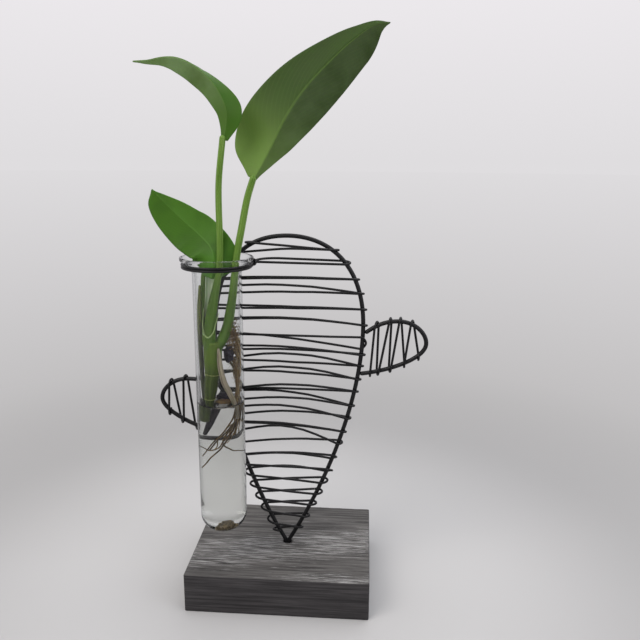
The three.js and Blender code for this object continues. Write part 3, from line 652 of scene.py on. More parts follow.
@dataclass(frozen=True)
class StandingWater(Finish):
    """Standing water with a trace of plant matter: clear, IOR 1.333, and a little warm."""

    colour: str = "#eeeeea"
    ior: float = 1.333

    def lay_out(self, tree: NodeTree) -> None:
        """Lays out the water, with the faint swirls that the roots leave in it.

        Args:
            tree: The material's empty tree.
        """
        place = add_node(tree, "ShaderNodeTexCoord", {}, {}).outputs["Object"]
        # Swirls 6 mm across
        swirls = add_node(tree, "ShaderNodeTexNoise", {}, {
            "Vector": place, "Scale": per_metre(6), "Detail": 1.0, "Distortion": 1.0,
        }).outputs[0]
        self.cover(tree, swirls, 0.05, 0.3, {
            "Base Color": linear(self.colour), "Transmission Weight": 1.0, "IOR": self.ior,
            "Roughness": 0.0,
        })


@dataclass(frozen=True)
class LeafBlade(Finish):
    """A living leaf blade with its waxy skin.

    A pale midrib runs up the middle, thin side veins curve from it to the tip, and the skin has a
    soft sheen with faint patches. The big leaf's greyer right half is a painted sheen.
    """

    left_half: str = "#2e4905"
    # The default right half is greyer than the left: a painted sheen, kept by the big leaf
    right_half: str = "#4f623a"
    deep: str = "#2a3f08"
    base: str = "#6e8d3e"
    midrib: str = "#6f8c45"
    roughness: float = 0.5
    side_veins: int = 26

    def lay_out(self, tree: NodeTree) -> None:
        """Lays out the two halves, the pale base, the midrib and the side veins.

        Args:
            tree: The material's empty tree.
        """
        blade = add_node(tree, "ShaderNodeUVMap", {"uv_map": "blade"}, {}).outputs[0]
        parts = add_node(tree, "ShaderNodeSeparateXYZ", {}, {0: blade}).outputs
        place = add_node(tree, "ShaderNodeTexCoord", {}, {}).outputs["Object"]
        across = add_node(tree, "ShaderNodeMath", {"operation": "MULTIPLY_ADD"}, {
            0: parts["X"], 1: 2.0, 2: -1.0,
        }).outputs[0]
        out = add_node(tree, "ShaderNodeMath", {"operation": "ABSOLUTE"}, {0: across}).outputs[0]
        halves = add_node(tree, "ShaderNodeMapRange", SMOOTH, {
            "Value": across, "From Min": -0.06, "From Max": 0.06,
        }).outputs[0]
        green = add_node(tree, "ShaderNodeMix", COLOURS, {
            MIX_SHARE: halves, MIX_FIRST: linear(self.left_half), MIX_SECOND: linear(self.right_half),
        }).outputs[MIX_RESULT]
        # Patches of deeper green, 14 mm across
        patches = add_node(tree, "ShaderNodeTexNoise", {}, {
            "Vector": place, "Scale": per_metre(14), "Detail": 3.0, "Roughness": 0.55,
        }).outputs[0]
        deeper = add_node(tree, "ShaderNodeMapRange", {}, {
            "Value": patches, "From Min": 0.42, "From Max": 0.7, "To Max": 0.6,
        }).outputs[0]
        patched = add_node(tree, "ShaderNodeMix", COLOURS, {
            MIX_SHARE: deeper, MIX_FIRST: green, MIX_SECOND: linear(self.deep),
        }).outputs[MIX_RESULT]
        # Side veins leave the midrib at a slant, on each side evenly over the blade's length
        slant = add_node(tree, "ShaderNodeMath", {"operation": "MULTIPLY_ADD"}, {
            0: out, 1: -0.32, 2: parts["Y"],
        }).outputs[0]
        phase = add_node(tree, "ShaderNodeMath", {"operation": "MULTIPLY"}, {
            0: slant, 1: self.side_veins * 2 * math.pi,
        }).outputs[0]
        wave = add_node(tree, "ShaderNodeMath", {"operation": "SINE"}, {0: phase}).outputs[0]
        veins = add_node(tree, "ShaderNodeMapRange", {}, {
            "Value": wave, "From Min": 0.6, "From Max": 1.0, "To Max": 0.07,
        }).outputs[0]
        veined = add_node(tree, "ShaderNodeMix", COLOURS, {
            MIX_SHARE: veins, MIX_FIRST: patched, MIX_SECOND: linear(self.midrib),
        }).outputs[MIX_RESULT]
        # The midrib's half width falls from 7% of the blade at its base to 1.5% at its tip
        reach = add_node(tree, "ShaderNodeMapRange", {}, {
            "Value": parts["Y"], "To Min": 0.07, "To Max": 0.015,
        }).outputs[0]
        from_rib = add_node(tree, "ShaderNodeMath", {"operation": "DIVIDE"}, {0: out, 1: reach}).outputs[0]
        on_rib = add_node(tree, "ShaderNodeMapRange", SMOOTH, {
            "Value": from_rib, "From Min": 0.3, "From Max": 1.0, "To Min": 0.38, "To Max": 0.0,
        }).outputs[0]
        ribbed = add_node(tree, "ShaderNodeMix", COLOURS, {
            MIX_SHARE: on_rib, MIX_FIRST: veined, MIX_SECOND: linear(self.midrib),
        }).outputs[MIX_RESULT]
        at_base = add_node(tree, "ShaderNodeMapRange", SMOOTH, {
            "Value": parts["Y"], "From Min": 0.12, "From Max": 0.5, "To Min": 0.9, "To Max": 0.0,
        }).outputs[0]
        # The right half keeps more of its own tone there, which on the big leaf is its painted sheen
        pale_side = add_node(tree, "ShaderNodeMath", {"operation": "MULTIPLY_ADD"}, {
            0: halves, 1: -0.6, 2: 1.0,
        }).outputs[0]
        paled = add_node(tree, "ShaderNodeMath", {"operation": "MULTIPLY"}, {
            0: at_base, 1: pale_side,
        }).outputs[0]
        colour = add_node(tree, "ShaderNodeMix", COLOURS, {
            MIX_SHARE: paled, MIX_FIRST: ribbed, MIX_SECOND: linear(self.base),
        }).outputs[MIX_RESULT]
        height = add_node(tree, "ShaderNodeMath", {"operation": "ADD"}, {0: veins, 1: on_rib}).outputs[0]
        self.cover(tree, height, 0.5, 0.25, {
            "Base Color": colour, "Roughness": self.roughness, "Specular IOR Level": 0.18,
            "Subsurface Weight": 0.12, "Subsurface Radius": (0.4, 1.0, 0.1), "Subsurface Scale": 1.0 * MM,
        })


@dataclass(frozen=True)
class StalkSkin(Finish):
    """The smooth skin of a leaf stalk, a stem or a root, streaked along its length.

    Its fibres show as fine lines of two tones along the growth, and the skin is a little waxy. Where
    foot_reach is given, the growth takes the foot's tone over its first few centimetres. On the leaf
    stalks that darker foot, inside the tube, is painted shade.
    """

    main: str = "#678a34"
    streak: str = "#88a558"
    dark: str = "#46671c"
    # The default foot tone is the leaf stalks' painted shade inside the tube
    foot: str = "#3f5f14"
    foot_reach: float = 0.0
    roughness: float = 0.42

    def lay_out(self, tree: NodeTree) -> None:
        """Lays out the streaks along the growth.

        Args:
            tree: The material's empty tree.
        """
        flow = add_node(tree, "ShaderNodeAttribute", {"attribute_name": "flow"}, {}).outputs["Vector"]
        # Fibres: a dozen round the stalk, 20 mm long
        along = add_node(tree, "ShaderNodeMapping", {}, {"Vector": flow, "Scale": (3.2, 3.2, 0.5)}).outputs[0]
        fibres = add_node(tree, "ShaderNodeTexNoise", {}, {
            "Vector": along, "Scale": 1.0, "Detail": 4.0, "Roughness": 0.6,
        }).outputs[0]
        light = add_node(tree, "ShaderNodeMapRange", {}, {
            "Value": fibres, "From Min": 0.48, "From Max": 0.72,
        }).outputs[0]
        shade = add_node(tree, "ShaderNodeMapRange", {}, {
            "Value": fibres, "From Min": 0.46, "From Max": 0.28,
        }).outputs[0]
        lit = add_node(tree, "ShaderNodeMix", COLOURS, {
            MIX_SHARE: light, MIX_FIRST: linear(self.main), MIX_SECOND: linear(self.streak),
        }).outputs[MIX_RESULT]
        colour = add_node(tree, "ShaderNodeMix", COLOURS, {
            MIX_SHARE: shade, MIX_FIRST: lit, MIX_SECOND: linear(self.dark),
        }).outputs[MIX_RESULT]
        if self.foot_reach:
            # The run along the growth is held in centimetres
            run = add_node(tree, "ShaderNodeSeparateXYZ", {}, {0: flow}).outputs["Z"]
            near_foot = add_node(tree, "ShaderNodeMapRange", SMOOTH, {
                "Value": run, "From Min": self.foot_reach * 0.5, "From Max": self.foot_reach * 1.3,
                "To Min": 0.75, "To Max": 0.0,
            }).outputs[0]
            colour = add_node(tree, "ShaderNodeMix", COLOURS, {
                MIX_SHARE: near_foot, MIX_FIRST: colour, MIX_SECOND: linear(self.foot),
            }).outputs[MIX_RESULT]
        self.cover(tree, fibres, 0.4, 0.2, {
            "Base Color": colour, "Roughness": self.roughness, "Specular IOR Level": 0.22,
            "Subsurface Weight": 0.1, "Subsurface Radius": (0.6, 1.0, 0.2), "Subsurface Scale": 1.2 * MM,
        })


@dataclass(frozen=True)
class RottedLitter(Finish):
    """Shed root skin and silt, settled and sodden: matt brown crumbs of mixed tones."""

    dark: str = "#4d4331"
    light: str = "#9c8a66"

    def lay_out(self, tree: NodeTree) -> None:
        """Lays out the crumbs' mixed tones.

        Args:
            tree: The material's empty tree.
        """
        place = add_node(tree, "ShaderNodeTexCoord", {}, {}).outputs["Object"]
        # Crumbs 0.8 mm across
        crumbs = add_node(tree, "ShaderNodeTexNoise", {}, {
            "Vector": place, "Scale": per_metre(0.8), "Detail": 3.0,
        }).outputs[0]
        share = add_node(tree, "ShaderNodeMapRange", {}, {
            "Value": crumbs, "From Min": 0.4, "From Max": 0.65,
        }).outputs[0]
        colour = add_node(tree, "ShaderNodeMix", COLOURS, {
            MIX_SHARE: share, MIX_FIRST: linear(self.dark), MIX_SECOND: linear(self.light),
        }).outputs[MIX_RESULT]
        self.cover(tree, crumbs, 0.6, 0.3, {"Base Color": colour, "Roughness": 0.85})


FRAME_WIRE = AnnealedWire("black annealed frame wire")
LACING_WIRE = AnnealedWire("black annealed lacing wire", roughness=0.38)
TIMBER = DryBrushedTimber("dry-brushed stained timber")
GLASS = BorosilicateGlass("borosilicate tube glass")
WATER = StandingWater("standing water")
# Its greyer right half, the class's default, is a painted sheen
BIG_BLADE = LeafBlade("big leaf blade")
LEFT_BLADE = LeafBlade(
    "left leaf blade", left_half="#78935d", right_half="#38620d", deep="#4a6424", base="#486c20",
)
LOW_BLADE = LeafBlade(
    "low leaf blade", left_half="#3c660d", right_half="#4a7622", deep="#2e520a", base="#4e7e28",
    midrib="#5c8a34",
)
# Its darker foot, the stalks' run inside the tube, is painted shade
STALK_SKIN = StalkSkin("leaf stalk skin", foot_reach=4.4)
STEM_SKIN = StalkSkin(
    "olive stem skin", main="#3a4a12", streak="#5a6b2a", dark="#1f2a08", foot="#5f7a26", foot_reach=1.7,
)
SHEATH_SKIN = StalkSkin("green sheath skin", main="#55732a", streak="#82a052", dark="#385416")
SHEATH_EDGE = StalkSkin(
    "pale sheath edge", main="#93ab6a", streak="#b8c896", dark="#6f8c4a", roughness=0.5,
)
SHEATH_LINING = StalkSkin(
    "pale sheath lining", main="#c6d7b4", streak="#f0f6e8", dark="#94b078", roughness=0.5,
)
OLD_STRAND = StalkSkin(
    "old olive strand", main="#30381a", streak="#4c512a", dark="#1a2009", foot="#6c7636", foot_reach=2.6,
    roughness=0.55,
)
NODE_RING = StalkSkin("pale node ring", main="#7f8b48", streak="#a3aa70", dark="#566428", roughness=0.5)
PALE_ROOT_SKIN = StalkSkin(
    "pale root skin", main="#877e6a", streak="#aca28c", dark="#5c5341", roughness=0.6,
)
BROWN_ROOT_SKIN = StalkSkin(
    "brown root skin", main="#5a462b", streak="#8a7244", dark="#2f2315", roughness=0.65,
)
OCHRE_ROOT_SKIN = StalkSkin(
    "ochre root skin", main="#80693f", streak="#a88f5c", dark="#4c3b22", roughness=0.65,
)
DECAYED_SKIN = StalkSkin(
    "decayed plant skin", main="#1d1824", streak="#352c38", dark="#0f0c14", roughness=0.5,
)
LITTER = RottedLitter("settled root litter")


@dataclass
class Piece:
    """A finished mesh on its way into the scene."""

    name: str
    shape: BMesh
    finish: Finish
    body: Body
    slot: str
    nodes: tuple[str, ...] = ()
    recalculate: bool = True
    crease: float | None = None

    def place(self) -> Object:
        """Turns the mesh to metres, dresses it and lets it ride on its body.

        Returns:
            The piece's object.
        """
        bmesh.ops.remove_doubles(self.shape, verts=self.shape.verts, dist=MERGE_DISTANCE)
        if self.recalculate:
            bmesh.ops.recalc_face_normals(self.shape, faces=self.shape.faces)
        bmesh.ops.scale(self.shape, vec=(MM, MM, MM), verts=self.shape.verts)
        mesh = bpy.data.meshes.new(self.name)
        self.shape.to_mesh(mesh)
        self.shape.free()
        mesh.shade_smooth()
        if self.crease is not None:
            mesh.set_sharp_from_angle(angle=math.radians(self.crease))
        thing = bpy.data.objects.new(self.name, mesh)
        bpy.context.scene.collection.objects.link(thing)
        thing.data.materials.append(self.finish.material())
        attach(thing, self.body.value)
        if self.nodes:
            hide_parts(*self.nodes)
        log.info("%s: %d faces", self.name, len(mesh.polygons))
        return thing


def soften(thing: Object, name: str) -> None:
    """Rounds a thin piece off with one level of subdivision.

    Args:
        thing: The piece's object.
        name: The modifier's name.
    """
    soft = thing.modifiers.new(name, "SUBSURF")
    soft.levels = 1
    soft.render_levels = 1


@dataclass
class PhotoCamera:
    """The camera at the photograph's viewing angle: its place in millimetres, its angles in radians."""

    place: tuple[float, float, float] = (43.43, -347.75, 240.97)
    yaw: float = -0.0668
    pitch: float = 0.2396
    roll: float = 0.0074
    lens: float = 37.396

    def build(self) -> None:
        """Makes the camera and gives it to the scene."""
        ahead = Vector((
            math.sin(self.yaw) * math.cos(self.pitch),
            math.cos(self.yaw) * math.cos(self.pitch),
            -math.sin(self.pitch),
        ))
        level = Vector((math.cos(self.yaw), -math.sin(self.yaw), 0))
        up = level.cross(ahead)
        right = level * math.cos(self.roll) + up * math.sin(self.roll)
        above = up * math.cos(self.roll) - level * math.sin(self.roll)
        data = bpy.data.cameras.new("photo_camera")
        data.lens = self.lens
        data.sensor_width = 36.0
        data.clip_start = 0.01
        data.clip_end = 50.0
        camera = bpy.data.objects.new("photo_camera", data)
        turn = Matrix((right, above, -ahead)).transposed().to_4x4()
        camera.matrix_world = Matrix.Translation(Vector(self.place) * MM) @ turn
        bpy.context.scene.collection.objects.link(camera)
        bpy.context.scene.camera = camera


@dataclass
class Lamp:
    """A soft square lamp that points at the planter. Its places and its side are in metres."""

    name: str
    place: tuple[float, float, float]
    size: float
    power: float
    colour: str = "#ffffff"
    aim: tuple[float, float, float] = (0.0, 0.0, 0.13)

    def build(self) -> None:
        """Hangs the lamp."""
        data = bpy.data.lights.new(self.name, "AREA")
        data.size = self.size
        data.energy = self.power
        data.color = linear(self.colour)[:3]
        lamp = bpy.data.objects.new(self.name, data)
        lamp.location = self.place
        ray = Vector(self.aim) - Vector(self.place)
        lamp.rotation_euler = ray.to_track_quat("-Z", "Y").to_euler()
        bpy.context.scene.collection.objects.link(lamp)


@dataclass
class Studio:
    """A plain pale floor that runs into an even pale background, under soft lamps."""

    floor_radius: float = 12.0
    near_floor: str = "#c3c1c1"
    far_floor: str = "#acaaaa"
    low_backdrop: str = "#b4b2b2"
    backdrop: str = "#dfdddf"
    high_backdrop: str = "#ebe8eb"
    sky: str = "#eef1f6"
    sky_strength: float = 0.55
    lamps: list[Lamp] = field(default_factory=lambda: [
        Lamp("key_lamp", (-0.9, -1.0, 1.5), 1.1, 17.0, "#fffaf4"),
        Lamp("top_lamp", (0.25, 0.3, 1.6), 1.3, 12.0),
        Lamp("side_lamp", (1.2, -0.7, 0.8), 0.9, 5.0, "#f3f7ff"),
    ])

    def build(self) -> None:
        """Makes the floor, the pale surroundings and the lamps."""
        shape = bmesh.new()
        bmesh.ops.create_circle(shape, cap_ends=True, segments=96, radius=self.floor_radius)
        mesh = bpy.data.meshes.new("studio_floor")
        shape.to_mesh(mesh)
        shape.free()
        floor = bpy.data.objects.new("studio_floor", mesh)
        bpy.context.scene.collection.objects.link(floor)
        floor.data.materials.append(self.floor_material())
        self.surround()
        for lamp in self.lamps:
            lamp.build()

    def floor_material(self) -> Material:
        """Lays out the matt pale floor, which fades to the backdrop's tone far from the planter.

        Returns:
            The floor's material.
        """
        made = bpy.data.materials.new("matt pale floor")
        made.use_nodes = True
        tree = made.node_tree
        tree.nodes.clear()
        place = add_node(tree, "ShaderNodeTexCoord", {}, {}).outputs["Object"]
        away = add_node(tree, "ShaderNodeVectorMath", {"operation": "LENGTH"}, {0: place}).outputs["Value"]
        far = add_node(tree, "ShaderNodeMapRange", SMOOTH, {
            "Value": away, "From Min": 0.2, "From Max": 0.45,
        }).outputs[0]
        share = add_node(tree, "ShaderNodeMath", {"operation": "MULTIPLY"}, {
            0: far, 1: self.seen_directly(tree),
        }).outputs[0]
        outer = add_node(tree, "ShaderNodeMapRange", SMOOTH, {
            "Value": away, "From Min": 0.1, "From Max": 0.25,
        }).outputs[0]
        tone = add_node(tree, "ShaderNodeMix", COLOURS, {
            MIX_SHARE: outer, MIX_FIRST: linear(self.near_floor), MIX_SECOND: linear(self.far_floor),
        }).outputs[MIX_RESULT]
        matt = add_node(tree, "ShaderNodeBsdfDiffuse", {}, {"Color": tone}).outputs[0]
        # The backdrop grows paler with the distance, evenly as it is seen from the object
        nearness = add_node(tree, "ShaderNodeMath", {"operation": "DIVIDE"}, {
            0: 1.0, 1: add_node(tree, "ShaderNodeMath", {"operation": "ADD"}, {0: away, 1: 0.35}).outputs[0],
        }).outputs[0]
        low = add_node(tree, "ShaderNodeMapRange", {}, {
            "Value": nearness, "From Min": 0.0, "From Max": 1.8,
        }).outputs[0]
        pale = add_node(tree, "ShaderNodeMix", COLOURS, {
            MIX_SHARE: low, MIX_FIRST: linear(self.backdrop), MIX_SECOND: linear(self.low_backdrop),
        }).outputs[MIX_RESULT]
        even = add_node(tree, "ShaderNodeEmission", {}, {"Color": pale, "Strength": 1.0}).outputs[0]
        both = add_node(tree, "ShaderNodeMixShader", {}, {0: share, 1: matt, 2: even}).outputs[0]
        add_node(tree, "ShaderNodeOutputMaterial", {}, {"Surface": both})
        return made

    def seen_directly(self, tree: NodeTree) -> NodeSocket:
        """Tells the rays that show the background, in the open, mirrored or through glass.

        Args:
            tree: The tree that takes the nodes.

        Returns:
            A socket that is 1 for those rays and 0 for the rays that light things.
        """
        rays = add_node(tree, "ShaderNodeLightPath", {}, {}).outputs
        seen = add_node(tree, "ShaderNodeMath", {"operation": "MAXIMUM"}, {
            0: rays["Is Camera Ray"], 1: rays["Is Glossy Ray"],
        }).outputs[0]
        return add_node(tree, "ShaderNodeMath", {"operation": "MAXIMUM"}, {
            0: seen, 1: rays["Is Transmission Ray"],
        }).outputs[0]

    def surround(self) -> None:
        """Gives the world its soft light and its even background."""
        world = bpy.data.worlds.new("studio_surround")
        world.use_nodes = True
        tree = world.node_tree
        tree.nodes.clear()
        soft = add_node(tree, "ShaderNodeBackground", {}, {
            "Color": linear(self.sky), "Strength": self.sky_strength,
        }).outputs[0]
        way = add_node(tree, "ShaderNodeTexCoord", {}, {}).outputs["Generated"]
        height = add_node(tree, "ShaderNodeSeparateXYZ", {}, {0: way}).outputs["Z"]
        # The background grows paler over the first 12 degrees above the horizon
        up = add_node(tree, "ShaderNodeMapRange", {}, {
            "Value": height, "From Min": 0.0, "From Max": 0.2,
        }).outputs[0]
        pale = add_node(tree, "ShaderNodeMix", COLOURS, {
            MIX_SHARE: up, MIX_FIRST: linear(self.backdrop), MIX_SECOND: linear(self.high_backdrop),
        }).outputs[MIX_RESULT]
        even = add_node(tree, "ShaderNodeBackground", {}, {"Color": pale, "Strength": 1.0}).outputs[0]
        both = add_node(tree, "ShaderNodeMixShader", {}, {
            0: self.seen_directly(tree), 1: soft, 2: even,
        }).outputs[0]
        add_node(tree, "ShaderNodeOutputWorld", {}, {"Surface": both})
        bpy.context.scene.world = world
        bpy.context.scene.view_settings.view_transform = "Standard"


@dataclass
class WoodenBlock:
    """The stained block that carries everything, with the drilled hole for the frame's legs."""

    width: float = 100.0
    depth: float = 77.4
    height: float = BLOCK_TOP
    hole_radius: float = 2.65
    hole_depth: float = 14.0
    arris: float = 0.75
    arris_wear: float = 0.35
    cuts: int = 36

    def build(self) -> None:
        """Saws, drills and dresses the block."""
        shape = new_mesh()
        cube = bmesh.ops.create_cube(shape, size=1.0)["verts"]
        bmesh.ops.scale(shape, vec=(self.width, self.depth, self.height), verts=cube)
        bmesh.ops.translate(shape, vec=(0, 0, self.height / 2), verts=cube)
        long_edges = [e for e in shape.edges if abs((e.verts[0].co - e.verts[1].co).z) < 1]
        bmesh.ops.subdivide_edges(shape, edges=long_edges, cuts=self.cuts, use_grid_fill=True)
        bmesh.ops.bevel(
            shape, geom=[e for e in shape.edges if e.is_manifold and e.calc_face_angle(0.0) > 1.0],
            offset=self.arris, offset_type="OFFSET", segments=3, profile=0.5, affect="EDGES", material=-1,
        )
        self.wear(shape)
        block = Piece(
            "stained_block", shape, TIMBER, Body.STAND, "stained_wood", ("wooden_block",), crease=40,
        )
        self.drill(block.place())

    def wear(self, shape: BMesh) -> None:
        """Rubs the arrises of the top slightly wavy.

        Args:
            shape: The block's mesh.
        """
        for vert in shape.verts:
            from_side = min(self.width / 2 - abs(vert.co.x), self.depth / 2 - abs(vert.co.y))
            if vert.co.z > self.height - 1 and from_side < 1:
                wave = noise.noise(vert.co * 0.11) + 0.4 * noise.noise(vert.co * 0.45)
                vert.co.z -= max(0.0, self.arris_wear * wave)

    def drill(self, block: Object) -> None:
        """Drills the foot hole.

        Args:
            block: The block's object.
        """
        bit = bmesh.new()
        round_bit = bmesh.ops.create_cone(
            bit, cap_ends=True, segments=48, radius1=self.hole_radius, radius2=self.hole_radius,
            depth=2 * self.hole_depth,
        )["verts"]
        bmesh.ops.translate(bit, vec=(FOOT_X, FRAME_PLANE_Y, self.height), verts=round_bit)
        bmesh.ops.scale(bit, vec=(MM, MM, MM), verts=bit.verts)
        mesh = bpy.data.meshes.new("drill_bit")
        bit.to_mesh(mesh)
        bit.free()
        tool = bpy.data.objects.new("drill_bit", mesh)
        bpy.context.scene.collection.objects.link(tool)
        cut = block.modifiers.new("foot_hole", "BOOLEAN")
        cut.operation = "DIFFERENCE"
        cut.solver = "EXACT"
        cut.object = tool
        cut_block = block.evaluated_get(bpy.context.evaluated_depsgraph_get())
        drilled = bpy.data.meshes.new_from_object(cut_block)
        block.modifiers.clear()
        block.data = drilled
        bpy.data.objects.remove(tool)


@dataclass
class Rail:
    """A stretch of thick wire that thin wire is wound over."""

    points: list[Vector]
    axis: Axis
    outward: int
    least_steepness: float = 0.4
    wrap_steps: int = 10

    def at(self, value: float) -> tuple[Vector, float]:
        """Finds the place where the rail's coordinate reaches a value.

        Args:
            value: The value of the coordinate that the rail is measured along.

        Returns:
            The point, and the share of the rail's direction that lies along that coordinate, which
            is never given as less than the least steepness.
        """
        along = self.axis.value[0]
        rising = self.points[-1][along] > self.points[0][along]
        last = len(self.points) - 2
        spot = next((i for i in range(last + 1) if (self.points[i + 1][along] >= value) == rising), last)
        start, end = self.points[spot], self.points[spot + 1]
        span = end[along] - start[along]
        share = min(max((value - start[along]) / span, 0.0), 1.0) if abs(span) > 1e-6 else 0.0
        steepness = max(abs((end - start).normalized()[along]), self.least_steepness)
        return start.lerp(end, share), steepness

    def wrap(self, start: float, end: float, from_front: bool, slack: float = 0.0) -> list[Vector]:
        """Bends half a turn of thin wire over the rail's outer side.

        Args:
            start: Where it starts along the rail.
            end: Where it ends along the rail.
            from_front: Whether it goes from the front face to the back.
            slack: How far its middle stands off the rail.

        Returns:
            The points of the half turn.
        """
        across = self.axis.value[1]
        face = -1 if from_front else 1
        half_turn = []
        for step in range(self.wrap_steps + 1):
            share = step / self.wrap_steps
            point, steepness = self.at(lerp(start, end, share))
            point.y = FRAME_PLANE_Y + face * WRAP_RADIUS * math.cos(math.pi * share)
            reach = WRAP_RADIUS / steepness + slack
            point[across] += self.outward * reach * math.sin(math.pi * share)
            half_turn.append(point)
        return half_turn


@dataclass(frozen=True)
class Turn:
    """One turn of a winding, by its places along the two rails and the bows of its two strands."""

    start: float
    far: float
    far_back: float
    near_back: float
    front_bow: float = 0.0
    back_bow: float = 0.0
    near_slack: float = 0.0
    far_slack: float = 0.0


@dataclass
class Winding:
    """Thin wire wound from one rail to the other and back."""

    first: Rail
    second: Rail
    turns: list[Turn]
    strand_steps: int = 9
    rise_sway: float = 0.3
    depth_sway: float = 0.15

    def strand(self, start: Vector, end: Vector, bow: float) -> list[Vector]:
        """Runs a strand between two wraps, with the slight waves of hand-wound wire.

        Args:
            start: Where the wire leaves one rail.
            end: Where it meets the other.
            bow: How far its middle stands above the straight line.

        Returns:
            The strand's inner points.
        """
        inner = []
        for step in range(1, self.strand_steps):
            share = step / self.strand_steps
            point = start.lerp(end, share)
            swell = math.sin(math.pi * share)
            point.z += bow * swell + self.rise_sway * swell * noise.noise(point * 0.07)
            point.y += self.depth_sway * swell * noise.noise(point * 0.09 + Vector((7, 3, 1)))
            inner.append(point)
        return inner

    def route(self) -> list[Vector]:
        """Gives the whole route of the wire.

        Returns:
            The points of its middle line.
        """
        path = self.first.wrap(self.turns[0].start, self.turns[0].start, False)
        for number, turn in enumerate(self.turns):
            over = self.second.wrap(turn.far, turn.far_back, True, turn.far_slack)
            path += self.strand(path[-1], over[0], turn.front_bow) + over
            last = number + 1 == len(self.turns)
            next_start = turn.near_back if last else self.turns[number + 1].start
            under = self.first.wrap(turn.near_back, next_start, False, turn.near_slack)
            path += self.strand(over[-1], under[0], turn.back_bow) + under
        return path


@dataclass(frozen=True)
class WireStock:
    """A stock of round wire, by its radius, the sides of its mesh, its finish and its slot."""

    radius: float
    sides: int
    finish: AnnealedWire
    slot: str
    least_step: float = 0.05

    def bend(self, name: str, node: str, route: list[Vector]) -> None:
        """Bends a length of this wire, with nipped ends.

        Args:
            name: The piece's name.
            node: The node that it stands for.
            route: The points of its middle line.
        """
        clean = [route[0]]
        for point in route[1:]:
            if (point - clean[-1]).length > self.least_step:
                clean.append(point)
        shape = new_mesh()
        add_rod(shape, clean, lambda share: self.radius, self.sides)
        Piece(name, shape, self.finish, Body.STAND, self.slot, (node,)).place()


THICK_STOCK = WireStock(FRAME_WIRE_RADIUS, 16, FRAME_WIRE, "frame_wire")
THIN_STOCK = WireStock(WINDING_WIRE_RADIUS, 10, LACING_WIRE, "winding_wire")
RING_STOCK = WireStock(WINDING_WIRE_RADIUS, 12, LACING_WIRE, "winding_wire")


@dataclass(frozen=True)
class Belly:
    """How one side of the teardrop outline swells."""

    reach: float
    height: float
    pull_foot: float
    pull_down: float
    pull_up: float
    pull_top: float


@dataclass(frozen=True)
class ArmShape:
    """The loop of thick wire at one side of the outline."""

    upper_height: float
    lower_height: float
    top_x: float
    top: float
    tip_x: float
    tip: float


